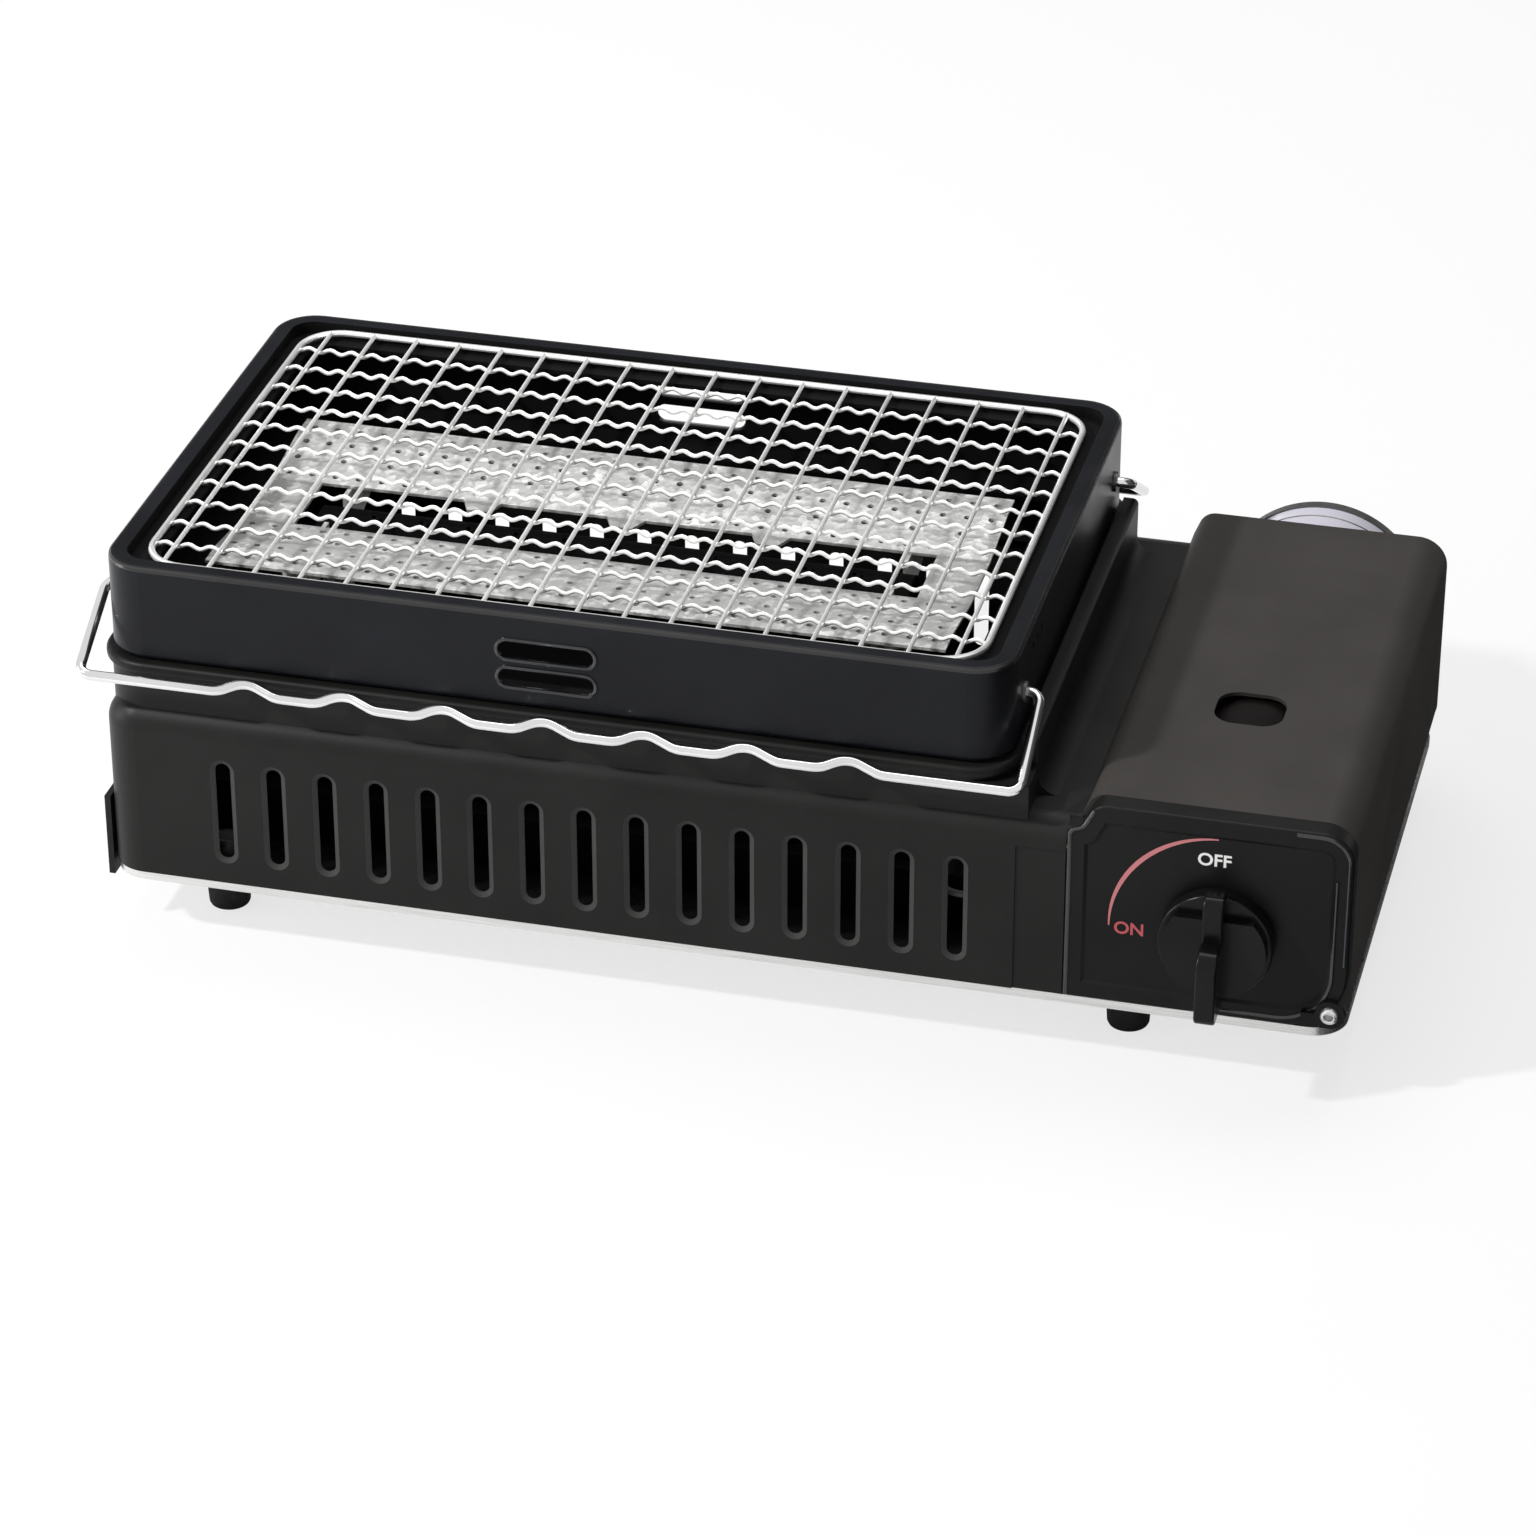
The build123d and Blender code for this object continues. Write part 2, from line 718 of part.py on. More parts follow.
def panel_outline():
    """The control panel's outline in X and Z, as a flat face."""
    step_x = panel_x0 + panel_step_width
    shoulder_x = step_x + panel_shoulder_run
    face = make_face(Polyline((panel_x0, shell_z), (panel_x0, deck_z), (step_x, deck_z),
                              (shoulder_x, cover_z), (body_x1, cover_z), (body_x1, shell_z), close=True))
    return round_corners(face, [((shoulder_x, cover_z), panel_shoulder_radius),
                                ((body_x1, cover_z), panel_top_radius),
                                ((body_x1, shell_z), panel_bottom_radius)])


def make_control_panel():
    outline = panel_outline()
    panel = Pos(0, panel_back_y, 0) * extrude(Plane.XZ * outline, panel_depth)
    front = panel.faces().sort_by(Axis.Y)[0]
    panel = fillet(front.edges(), panel_edge_radius)
    inner = offset(outline, -sheet)
    hollow_depth = panel_depth + overrun - sheet
    panel = panel - Pos(0, panel_back_y + overrun, 0) * extrude(Plane.XZ * inner, hollow_depth)
    field = offset(outline, -panel_border)
    sloped = extrude(Plane.XZ * field, 2 * panel_recess, taper=-panel_slope)
    panel = panel - Pos(0, front_y + panel_recess, 0) * sloped
    spindle_hole = rod_y(knob_x, knob_z, spindle_radius + running_gap, front_y - overrun, panel_back_y)
    hinge_hole = rod_y(hinge_x, hinge_z, hinge_pin_radius, front_y - overrun, panel_back_y)
    lead_hole = rod_x(cam_y, knob_z, lead_radius + pipe_grommet_gap, panel_x0 - overrun, panel_x0 + overrun)
    return panel - spindle_hole - hinge_hole - lead_hole


def make_knob():
    disc_y = front_y - knob_gap
    face_y = disc_y - knob_disc
    raised_y = face_y - knob_face
    tip_y = front_y - knob_reach
    disc = rod_y(knob_x, knob_z, knob_radius, face_y, disc_y)
    disc = fillet(disc.faces().sort_by(Axis.Y)[0].edges(), knob_edge_radius)
    raised = rod_y(knob_x, knob_z, knob_radius - 2 * knob_edge_radius, raised_y, face_y)
    raised = raised - box_between(knob_x - overrun, knob_x + overrun, raised_y - overrun, face_y,
                                  knob_z + knob_chord_rise, knob_z + 2 * overrun)
    top_z = knob_z + knob_fin_half_length
    low_y = raised_y - knob_fin_low
    nose_z = knob_z + knob_fin_nose_radius
    fin = make_face(Polyline((face_y, top_z), (low_y, top_z), (low_y, nose_z), (tip_y, nose_z),
                             (tip_y, knob_z - knob_fin_half_length), (face_y, knob_z - knob_fin_half_length),
                             close=True))
    fin = round_corners(fin, [((low_y, top_z), knob_fin_low), ((tip_y, nose_z), knob_fin_nose_radius),
                              ((tip_y, knob_z - knob_fin_half_length), knob_fin_low)])
    fin = Pos(knob_x - knob_fin_thickness / 2, 0, 0) * extrude(Plane.YZ * fin, knob_fin_thickness)
    fin = fillet(fin.faces().filter_by(Axis.X).edges(), knob_edge_radius)
    bore = rod_y(knob_x, knob_z, spindle_radius, disc_y - spindle_grip, disc_y + overrun)
    return disc + raised + fin - bore


def cam_outline():
    """A snail cam whose radius grows steadily over its turn, facing the igniter on its low side at rest."""
    points = []
    for index in range(cam_points + 1):
        share = index / cam_points
        turn = radians(180 - cam_turn * share)
        radius = cam_radius + cam_lift * share
        points.append((knob_x + radius * cos(turn), knob_z + radius * sin(turn)))
    back_turn = radians(180 - cam_turn - (360 - cam_turn) / 4)
    side_turn = radians(180 + (360 - cam_turn) / 4)
    points.append((knob_x + cam_radius * cos(back_turn), knob_z + cam_radius * sin(back_turn)))
    points.append((knob_x + cam_radius * cos((back_turn + side_turn - 2 * pi) / 2),
                   knob_z + cam_radius * sin((back_turn + side_turn - 2 * pi) / 2)))
    points.append((knob_x + cam_radius * cos(side_turn), knob_z + cam_radius * sin(side_turn)))
    return points


def make_valve_spindle():
    head_y = front_y - knob_gap - spindle_grip
    tail_y = regulator_y0 + spindle_tail
    shaft = rod_y(knob_x, knob_z, spindle_radius, head_y, tail_y)
    cam = plate_xz(cam_outline(), cam_y - cam_thickness / 2, cam_y + cam_thickness / 2)
    return shaft + cam


def post_places():
    """X and Z of the posts that hold the regulator to the panel."""
    return [(regulator_x0 + post_inset, regulator_z0 + regulator_height - post_inset),
            (regulator_x0 + regulator_width - post_inset, regulator_z0 + post_inset)]


def make_regulator():
    block = box_between(regulator_x0, regulator_x0 + regulator_width, regulator_y0, regulator_y1,
                        regulator_z0, regulator_z0 + regulator_height)
    block = fillet(block.edges().filter_by(Axis.Y), regulator_edge_radius)
    posts = [rod_y(x, z, post_radius, front_y + sheet, regulator_y0) for x, z in post_places()]
    spindle_hole = rod_y(knob_x, knob_z, spindle_radius + running_gap, regulator_y0 - overrun,
                         regulator_y0 + spindle_tail + clear_gap)
    stem_hole = rod_y(can_x, can_z, valve_stem_radius + running_gap, can_front_y - valve_cup_length
                      - valve_stem_length - clear_gap, regulator_y1 + overrun)
    outlet = rod_x(pipe_y, pipe_z, pipe_radius - pipe_wall, regulator_x0 - overrun,
                   regulator_x0 + pipe_radius)
    return block + posts - spindle_hole - stem_hole - outlet


def make_regulator_cap():
    return rod_z(regulator_x0 + regulator_width / 2, pipe_y, cap_radius,
                 regulator_z0 + regulator_height, regulator_z0 + regulator_height + cap_height)


def make_holding_magnet():
    ring = rod_y(can_x, can_z, magnet_radius, regulator_y1, regulator_y1 + magnet_thickness)
    return ring - rod_y(can_x, can_z, magnet_bore_radius, regulator_y1 - overrun, regulator_y1 + overrun)


def piezo_ends():
    """X of the igniter's two ends: the wall side and the plunger side."""
    right = plunger_tip_x - plunger_length + plunger_sink + cam_lift
    return right - piezo_length, right


def make_piezo_igniter():
    left, right = piezo_ends()
    case = rod_x(cam_y, knob_z, piezo_radius, left, right)
    bore_x = plunger_tip_x - plunger_length - cam_lift - clear_gap
    saddle = box_between(left, left + piezo_saddle_width, front_y + sheet, cam_y,
                         knob_z - piezo_radius / 2, knob_z + piezo_radius / 2)
    return case + saddle - rod_x(cam_y, knob_z, plunger_radius + running_gap, bore_x, right + overrun)


def make_igniter_plunger():
    rod = rod_x(cam_y, knob_z, plunger_radius, plunger_tip_x - plunger_length, plunger_tip_x)
    return fillet(rod.faces().sort_by(Axis.X)[-1].edges(), plunger_radius / 2)


def insulator_place():
    """X and Y of the upright insulator, against the right bracket."""
    return plate_x + bracket_span / 2 + bracket_thickness / 2 + insulator_radius, -electrode_setback


def make_spark_insulator():
    x, y = insulator_place()
    top = burner_z + electrode_rise
    return (rod_z(x, y, insulator_radius, top - insulator_length, top)
            - rod_z(x, y, electrode_radius, top - insulator_length - overrun, top + overrun))


def make_spark_electrode():
    x, y = insulator_place()
    top = burner_z + electrode_rise
    tip_y = -burner_radius - electrode_gap
    points = [(x, y, top - insulator_length), (x, y, top + electrode_rise), (x, tip_y, top + electrode_rise)]
    return wire_along(points, electrode_bend, electrode_radius)


def make_ignition_lead():
    left = piezo_ends()[0]
    x, y = insulator_place()
    turn_x = shell_x1 - lead_turn_inset
    bottom = burner_z + electrode_rise - insulator_length
    points = [(left, cam_y, knob_z), (turn_x, cam_y, knob_z), (turn_x, y, knob_z), (x, y, knob_z),
              (x, y, bottom)]
    return wire_along(points, lead_bend, lead_radius)


def make_cartridge_can():
    rear = can_front_y + can_length
    can = rod_y(can_x, can_z, can_radius, can_front_y, rear)
    can = fillet(can.faces().sort_by(Axis.Y)[0].edges(), can_shoulder_radius)
    hollow = rod_y(can_x, can_z, can_radius - can_wall, can_front_y + can_wall, rear + can_wall)
    hollow = fillet(hollow.faces().sort_by(Axis.Y)[0].edges(), can_shoulder_radius - can_wall)
    neck = rod_y(can_x, can_z, can_neck_radius, can_front_y - can_wall, can_front_y + 2 * can_wall)
    return can - hollow - neck


def make_cartridge_seam():
    y0 = can_front_y + can_length
    ring = rod_y(can_x, can_z, can_seam_radius, y0, can_rear_y)
    ring = fillet(ring.faces().sort_by(Axis.Y)[-1].edges(), can_seam_wall / 2)
    dish = rod_y(can_x, can_z, can_seam_radius - can_seam_wall, can_rear_y - can_dish, can_rear_y + overrun)
    return ring - dish


def make_cartridge_valve():
    cup_y = can_front_y - valve_cup_length
    cup = rod_y(can_x, can_z, valve_cup_radius, cup_y, can_front_y)
    cup = cup - rod_y(can_x, can_z, can_neck_radius, cup_y + 2 * can_wall, can_front_y + overrun)
    stem = rod_y(can_x, can_z, valve_stem_radius, cup_y - valve_stem_length, cup_y)
    return cup + stem


def make_cartridge_cradle():
    half = cradle_spread + cradle_rail
    y1 = rear_y - base_setback - sheet - clear_gap
    y0 = can_front_y + cradle_setback
    cradle = box_between(can_x - half, can_x + half, y0, y1, floor_z, floor_z + cradle_floor)
    for side in (-1, 1):
        x = can_x + side * (cradle_spread + cradle_rail / 2)
        cradle = cradle + box_between(x - cradle_rail / 2, x + cradle_rail / 2, y0, y1,
                                      floor_z + cradle_floor, can_z - can_radius / 2)
    return cradle - rod_y(can_x, can_z, can_radius + clear_gap, y0 - overrun, y1 + overrun)


def cover_face(inset):
    """The cover's outline in X and Z with its foot open, drawn in by the inset."""
    x0 = shell_x1 - cover_left_inset + inset
    x1 = body_x1 - inset
    top = cover_z - inset
    foot = deck_z + cover_foot_gap
    low = hinge_z - overrun if inset else hinge_z
    face = make_face(Polyline((x0, foot), (x0 + cover_lean, top), (x1, top), (x1, low), (x0, low),
                              close=True))
    return round_corners(face, [((x0 + cover_lean, top), cover_left_radius - inset),
                                ((x1, top), cover_right_radius - inset)])


def make_cartridge_cover():
    y0 = panel_back_y + clear_gap
    length = rear_y - y0
    cover = Pos(0, rear_y, 0) * extrude(Plane.XZ * cover_face(0), length)
    cover = cover - Pos(0, rear_y + overrun, 0) * extrude(Plane.XZ * cover_face(sheet), length + 2 * overrun)
    cover = cover - box_between(shell_x1 - bay_width, can_x, y0 - overrun, rear_y + overrun,
                                hinge_z - overrun, deck_z + cover_foot_gap)
    finger = slab(finger_width, finger_depth, finger_radius, cover_z - overrun / 2, cover_z + overrun,
                  body_x1 - finger_inset, front_y + finger_setback)
    cover = cover - finger
    ears = []
    for ear_y in (y0, rear_y - sheet):
        ear = rod_y(hinge_x, hinge_z, hinge_inset, ear_y, ear_y + sheet)
        web = box_between(hinge_x - hinge_inset, body_x1, ear_y, ear_y + sheet,
                          hinge_z, hinge_z + 2 * hinge_inset)
        ears.append(ear + web)
    pin_hole = rod_y(hinge_x, hinge_z, hinge_pin_radius + running_gap, y0 - overrun, rear_y + overrun)
    return joined([cover] + ears) - pin_hole


def make_hinge_lugs():
    front = rod_y(hinge_x, hinge_z, hinge_inset, front_y - lug_thickness, front_y)
    front = front + box_between(hinge_x - lug_reach, hinge_x, front_y - lug_thickness, front_y,
                                hinge_z - hinge_inset, hinge_z)
    rear_radius = hinge_inset - sheet - clear_gap
    post_x = hinge_x - 2 * clear_gap
    rear = rod_y(hinge_x, hinge_z, rear_radius, rear_lug_y - lug_thickness, rear_lug_y)
    rear = rear + box_between(hinge_x - rear_radius, post_x, rear_lug_y - lug_thickness, rear_lug_y,
                              floor_z, hinge_z)
    rear = rear + box_between(hinge_x - lug_reach, post_x, rear_lug_y - lug_reach, rear_lug_y,
                              floor_z, floor_z + lug_thickness)
    hole = rod_y(hinge_x, hinge_z, hinge_pin_radius, front_y - overrun, rear_y + overrun)
    return group([front - hole, rear - hole])


def make_hinge_pins():
    front_end = panel_back_y + sheet + hinge_pin_tail
    front = rod_y(hinge_x, hinge_z, hinge_pin_radius, front_y - lug_thickness, front_end)
    front = front + rod_y(hinge_x, hinge_z, hinge_head_radius, front_y - lug_thickness - hinge_head_height,
                          front_y - lug_thickness)
    rear_end = rear_y + clear_gap
    rear = rod_y(hinge_x, hinge_z, hinge_pin_radius, rear_lug_y - lug_thickness, rear_end)
    rear = rear + rod_y(hinge_x, hinge_z, hinge_head_radius, rear_end, rear_end + hinge_head_height)
    return group([front, rear])


def make_grill_tray():
    tray = slab(tray_width, tray_depth, tray_radius, tray_z, rim_z + lift_gap, tray_x)
    tray = fillet(tray.faces().sort_by(Axis.Z)[0].edges(), tray_foot_radius)
    tray = fillet(tray.faces().sort_by(Axis.Z)[-1].edges(), rim_edge_radius)
    ledge_z = rim_z + lift_gap - ledge_drop
    well = slab(tray_width - 2 * rim_width, tray_depth - 2 * rim_width, tray_radius - rim_width,
                ledge_z, rim_z + overrun, tray_x)
    hollow = slab(tray_width - 2 * tray_wall, tray_depth - 2 * tray_wall, tray_radius - tray_wall,
                  tray_z + tray_wall, ledge_z - tray_wall, tray_x)
    hollow = fillet(hollow.faces().sort_by(Axis.Z)[0].edges(), tray_foot_radius - tray_wall)
    mouth_inset = rim_width + ledge_width
    mouth = slab(tray_width - 2 * mouth_inset, tray_depth - 2 * mouth_inset, tray_radius - rim_width,
                 tray_z + tray_wall, rim_z + overrun, tray_x)
    foot_opening = slab(tray_width - 2 * tray_foot_flange, tray_depth - 2 * tray_foot_flange,
                        tray_radius - rim_width, tray_z - overrun, tray_z + overrun, tray_x)
    tray = tray - well - hollow - mouth - foot_opening
    vent = extrude(Plane.XZ * SlotOverall(vent_length, vent_height), tray_depth + overrun, both=True)
    vent_z = tray_z + vent_rise
    vents = [Pos(tray_x, 0, vent_z + side * vent_pitch / 2) * vent for side in (-1, 1)]
    pivot_holes = [rod_x(side * pivot_y, pivot_z, rest_wire_radius + running_gap,
                         tray_x - tray_width, tray_x + tray_width) for side in (-1, 1)]
    side_x = tray_x + tray_width / 2
    side_holes = [rod_x(-pivot_y + side_hole_start + index * side_hole_pitch, pivot_z + side_hole_rise,
                        side_hole_radius, side_x - 2 * tray_wall, side_x + overrun)
                  for index in range(side_hole_count)]
    return tray - vents - pivot_holes - side_holes


def make_rest_bushings():
    rings = []
    for end in (-1, 1):
        wall_x = tray_x + end * tray_width / 2
        outer_x = wall_x + end * bushing_thickness
        for side in (-1, 1):
            ring = rod_x(side * pivot_y, pivot_z, bushing_radius, min(wall_x, outer_x), max(wall_x, outer_x))
            hole = rod_x(side * pivot_y, pivot_z, rest_wire_radius + running_gap,
                         wall_x - overrun, wall_x + overrun)
            rings.append(ring - hole)
    return group(rings)


def rest_points():
    """The skewer rest's wire in its own plane: X along the grill, and out from the pivot."""
    stub_x = tray_width / 2 - tray_wall - rest_stub
    points = [(-stub_x, 0), (-rest_half, 0), (-rest_half, rest_arm)]
    for index in range(notch_count):
        x = (index - (notch_count - 1) / 2) * notch_pitch
        points += [(x - notch_rise_run, rest_arm), (x, rest_arm - notch_height),
                   (x + notch_fall_run, rest_arm)]
    return points + [(rest_half, rest_arm), (rest_half, 0), (stub_x, 0)]


def make_skewer_rest(side):
    """One notched wire, hanging outwards and down from its pivots on the given side."""
    down = radians(rest_hang_angle)
    points = [(tray_x + x, side * (pivot_y + reach * cos(down)), pivot_z - reach * sin(down))
              for x, reach in rest_points()]
    corner_bends = [rest_bend_radius, rest_bend_radius]
    notch_bends = 3 * notch_count * [notch_bend_radius]
    return wire_along(points, corner_bends + notch_bends + corner_bends, rest_wire_radius)


def net_lines(count, pitch):
    """Places of evenly pitched wires about the middle."""
    return [(index - (count - 1) / 2) * pitch for index in range(count)]


def make_grill_net():
    line_width = net_width - 2 * net_frame_radius
    line_depth = net_depth - 2 * net_frame_radius
    path = RectangleRounded(line_width, line_depth, net_radius).wire()
    start = Plane(path @ 0, z_dir=path % 0)
    frame = sweep(start * Circle(net_frame_radius), path)
    half_x = line_width / 2
    half_y = line_depth / 2
    pitch = line_width / net_wires_across
    across = [-half_x] + net_lines(net_wires_across, pitch) + [half_x]
    along = [-half_y] + net_lines(net_wires_along, line_depth / (net_wires_along + 1)) + [half_y]
    gaps = []
    corner_gaps = []
    for left, right in zip(across, across[1:]):
        for low, high in zip(along, along[1:]):
            cell = Rectangle(right - left - net_bar, high - low - net_bar)
            cell = Pos((left + right) / 2, (low + high) / 2) * cell
            reach_x = max(abs(left), abs(right))
            reach_y = max(abs(low), abs(high))
            rounded = reach_x > half_x - net_radius and reach_y > half_y - net_radius
            (corner_gaps if rounded else gaps).append(cell)
    outline = RectangleRounded(line_width, line_depth, net_radius).wire()
    mesh = Pos(0, 0, -net_bar / 2) * extrude(Face(outline, [cell.wire() for cell in gaps]), net_bar)
    inside = RectangleRounded(line_width - net_bar, line_depth - net_bar, net_radius - net_bar / 2)
    for cell in corner_gaps:
        mesh = mesh - Pos(0, 0, -net_bar) * extrude(cell & inside, 2 * net_bar)
    return Pos(tray_x, 0, net_z) * (frame + mesh)


pieces = {
    "body_shell": make_body_shell,
    "base_plate": make_base_plate,
    "left_end_plate": make_left_end_plate,
    "rubber_feet": make_rubber_feet,
    "foot_screws": make_foot_screws,
    "heat_shield": make_heat_shield,
    "base_screws": make_base_screws,
    "drip_tray": make_drip_tray,
    "radiant_plate": make_radiant_plate,
    "burner_tube": make_burner_tube,
    "burner_brackets": make_burner_brackets,
    "mixing_tube": make_mixing_tube,
    "mixing_mouth": make_mixing_mouth,
    "gas_jet": make_gas_jet,
    "jet_holder": make_jet_holder,
    "gas_pipe": make_gas_pipe,
    "control_panel": make_control_panel,
    "knob": make_knob,
    "valve_spindle": make_valve_spindle,
    "regulator": make_regulator,
    "regulator_cap": make_regulator_cap,
    "holding_magnet": make_holding_magnet,
    "piezo_igniter": make_piezo_igniter,
    "igniter_plunger": make_igniter_plunger,
    "spark_insulator": make_spark_insulator,
    "spark_electrode": make_spark_electrode,
    "ignition_lead": make_ignition_lead,
    "cartridge_can": make_cartridge_can,
    "cartridge_seam": make_cartridge_seam,
    "cartridge_valve": make_cartridge_valve,
    "cartridge_cradle": make_cartridge_cradle,
    "cartridge_cover": make_cartridge_cover,
    "hinge_lugs": make_hinge_lugs,
    "hinge_pins": make_hinge_pins,
    "grill_tray": make_grill_tray,
    "rest_bushings": make_rest_bushings,
    "grill_net": make_grill_net,
}

os.makedirs("parts", exist_ok=True)
to_origin = Pos(-origin_x, -origin_y, 0)
for name, make in pieces.items():
    export_step(to_origin * make(), f"parts/{name}.step")
for name, side in (("front_skewer_rest", -1), ("rear_skewer_rest", 1)):
    export_step(to_origin * make_skewer_rest(side), f"parts/{name}.step")
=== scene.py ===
# %% [markdown]
# # A tabletop gas grill, dressed for a studio picture
#
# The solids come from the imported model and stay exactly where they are. This lesson gives every
# solid its finish, makes the pieces that a solid can only hint at (the crimped wire net, the printed
# dial, the rolled rivets), and sets up the light and the camera of a catalogue picture. Everything
# is in metres.

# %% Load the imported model
import math
import bmesh
import bpy
from mathutils import Matrix, Vector


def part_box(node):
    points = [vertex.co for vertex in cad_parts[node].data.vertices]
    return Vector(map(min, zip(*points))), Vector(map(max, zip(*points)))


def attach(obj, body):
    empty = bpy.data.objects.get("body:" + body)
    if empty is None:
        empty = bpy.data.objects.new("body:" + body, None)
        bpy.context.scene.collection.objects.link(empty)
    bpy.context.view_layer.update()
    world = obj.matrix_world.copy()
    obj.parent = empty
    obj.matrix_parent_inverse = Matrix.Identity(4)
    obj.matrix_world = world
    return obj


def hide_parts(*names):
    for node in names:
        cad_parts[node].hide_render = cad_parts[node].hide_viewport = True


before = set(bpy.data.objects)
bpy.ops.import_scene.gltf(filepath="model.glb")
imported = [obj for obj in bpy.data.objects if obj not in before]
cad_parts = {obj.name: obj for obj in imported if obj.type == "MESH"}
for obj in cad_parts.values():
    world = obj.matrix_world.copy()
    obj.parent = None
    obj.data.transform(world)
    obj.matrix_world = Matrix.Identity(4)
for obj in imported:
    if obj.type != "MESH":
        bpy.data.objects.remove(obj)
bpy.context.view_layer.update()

scene = bpy.context.scene
mm = 0.001
print("solids loaded:", len(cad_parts))

# %% [markdown]
# ## The camera first
#
# The picture was taken with a long lens from the front, a little to the right and well above the
# table. The lens and the place were worked out from the straight edges of the net and the body, so
# the camera is set before anything else, and every later render can be laid beside the photograph.

# %% Place the camera
photo_width = 1536
focal_pixels = 5472
sensor_width = 36
camera_place = Vector((0.3782, -1.5156, 0.9449))
camera_tilt = math.radians(59.755)
camera_turn = math.radians(14.138)

camera_data = bpy.data.cameras.new("studio_camera")
camera_data.sensor_width = sensor_width
camera_data.lens = sensor_width * focal_pixels / photo_width
camera = bpy.data.objects.new("studio_camera", camera_data)
camera.location = camera_place
camera.rotation_euler = (camera_tilt, 0, camera_turn)
scene.collection.objects.link(camera)
scene.camera = camera
print("lens:", round(camera_data.lens, 1), "mm")

# %% [markdown]
# ## Helpers for new pieces
#
# A new piece is a mesh whose place is in its vertices. It rides on the body that carries it, and it
# takes its finish. Flat faces stay flat because edges sharper than a set
# angle are marked sharp.

# %% Make an object from a mesh or a bmesh
crease_angle = math.radians(35)


def add_mesh(name, mesh, body, material):
    mesh.name = name
    mesh.materials.clear()
    mesh.materials.append(material)
    mesh.shade_smooth()
    mesh.set_sharp_from_angle(angle=crease_angle)
    piece = bpy.data.objects.new(name, mesh)
    scene.collection.objects.link(piece)
    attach(piece, body)
    print("made", name, "with", len(mesh.polygons), "faces")
    return piece


def mesh_from(name, shape):
    mesh = bpy.data.meshes.new(name)
    shape.to_mesh(mesh)
    shape.free()
    return mesh


def add_piece(name, shape, body, material):
    return add_mesh(name, mesh_from(name, shape), body, material)


# %% [markdown]
# ## Shared surface effects
#
# Several finishes share the same kind of surface: sprayed paint has a faint orange peel, rolled
# metal has fine lines along the rolling direction, and coated sheet shows a mottle of crystals. Each
# effect could be drawn anew in every material, but then a change would have to be made many times.
# So each is a node group with a Scale, built once. It gives a Tone that drifts over the surface and
# a Height for the bump.

# %% Parts that every effect group needs
def start_group(name):
    group = bpy.data.node_groups.new(name, "ShaderNodeTree")
    group.interface.new_socket("Scale", in_out="INPUT", socket_type="NodeSocketFloat")
    group.interface.new_socket("Tone", in_out="OUTPUT", socket_type="NodeSocketFloat")
    group.interface.new_socket("Height", in_out="OUTPUT", socket_type="NodeSocketFloat")
    entry = group.nodes.new("NodeGroupInput")
    leave = group.nodes.new("NodeGroupOutput")
    place = group.nodes.new("ShaderNodeTexCoord")
    return group, entry.outputs["Scale"], leave, place.outputs["Object"]


def scaled(group, socket, factor):
    times = group.nodes.new("ShaderNodeMath")
    times.operation = "MULTIPLY"
    times.inputs[1].default_value = factor
    group.links.new(socket, times.inputs[0])
    return times.outputs[0]


def noise_in(group, coordinates, scale, detail, roughness):
    noise = group.nodes.new("ShaderNodeTexNoise")
    noise.inputs["Detail"].default_value = detail
    noise.inputs["Roughness"].default_value = roughness
    group.links.new(coordinates, noise.inputs["Vector"])
    group.links.new(scale, noise.inputs["Scale"])
    return noise.outputs["Fac"]


# %% Sprayed paint: a fine peel, and a tone that drifts far more slowly
drift_share = 0.02


def make_orange_peel():
    group, scale, leave, place = start_group("sprayed_paint_skin")
    slow_scale = scaled(group, scale, drift_share)
    drift = noise_in(group, place, slow_scale, detail=4, roughness=0.55)
    peel = noise_in(group, place, scale, detail=3, roughness=0.6)
    group.links.new(drift, leave.inputs["Tone"])
    group.links.new(peel, leave.inputs["Height"])
    return group


orange_peel = make_orange_peel()
print("made the group", orange_peel.name)

# %% Rolled metal: noise drawn out into lines along the length
line_stretch = (0.02, 1, 1)


def make_rolled_lines():
    group, scale, leave, place = start_group("rolled_metal_lines")
    stretch = group.nodes.new("ShaderNodeMapping")
    stretch.inputs["Scale"].default_value = line_stretch
    group.links.new(place, stretch.inputs["Vector"])
    lines = noise_in(group, stretch.outputs["Vector"], scale, detail=5, roughness=0.65)
    group.links.new(lines, leave.inputs["Tone"])
    group.links.new(lines, leave.inputs["Height"])
    return group


rolled_lines = make_rolled_lines()
print("made the group", rolled_lines.name)

# %% Coated sheet: crystals of different greys, dimmed here and there by a cloud
cloud_share = 0.25


def make_spangle():
    group, scale, leave, place = start_group("coated_sheet_spangle")
    cells = group.nodes.new("ShaderNodeTexVoronoi")
    group.links.new(place, cells.inputs["Vector"])
    group.links.new(scale, cells.inputs["Scale"])
    grey_of_cell = group.nodes.new("ShaderNodeSeparateColor")
    group.links.new(cells.outputs["Color"], grey_of_cell.inputs["Color"])
    cloud_scale = scaled(group, scale, cloud_share)
    cloud = noise_in(group, place, cloud_scale, detail=4, roughness=0.6)
    blend = group.nodes.new("ShaderNodeMath")
    blend.operation = "MULTIPLY"
    group.links.new(grey_of_cell.outputs["Red"], blend.inputs[0])
    group.links.new(cloud, blend.inputs[1])
    group.links.new(blend.outputs[0], leave.inputs["Tone"])
    group.links.new(cells.outputs["Distance"], leave.inputs["Height"])
    return group


spangle = make_spangle()
print("made the group", spangle.name)

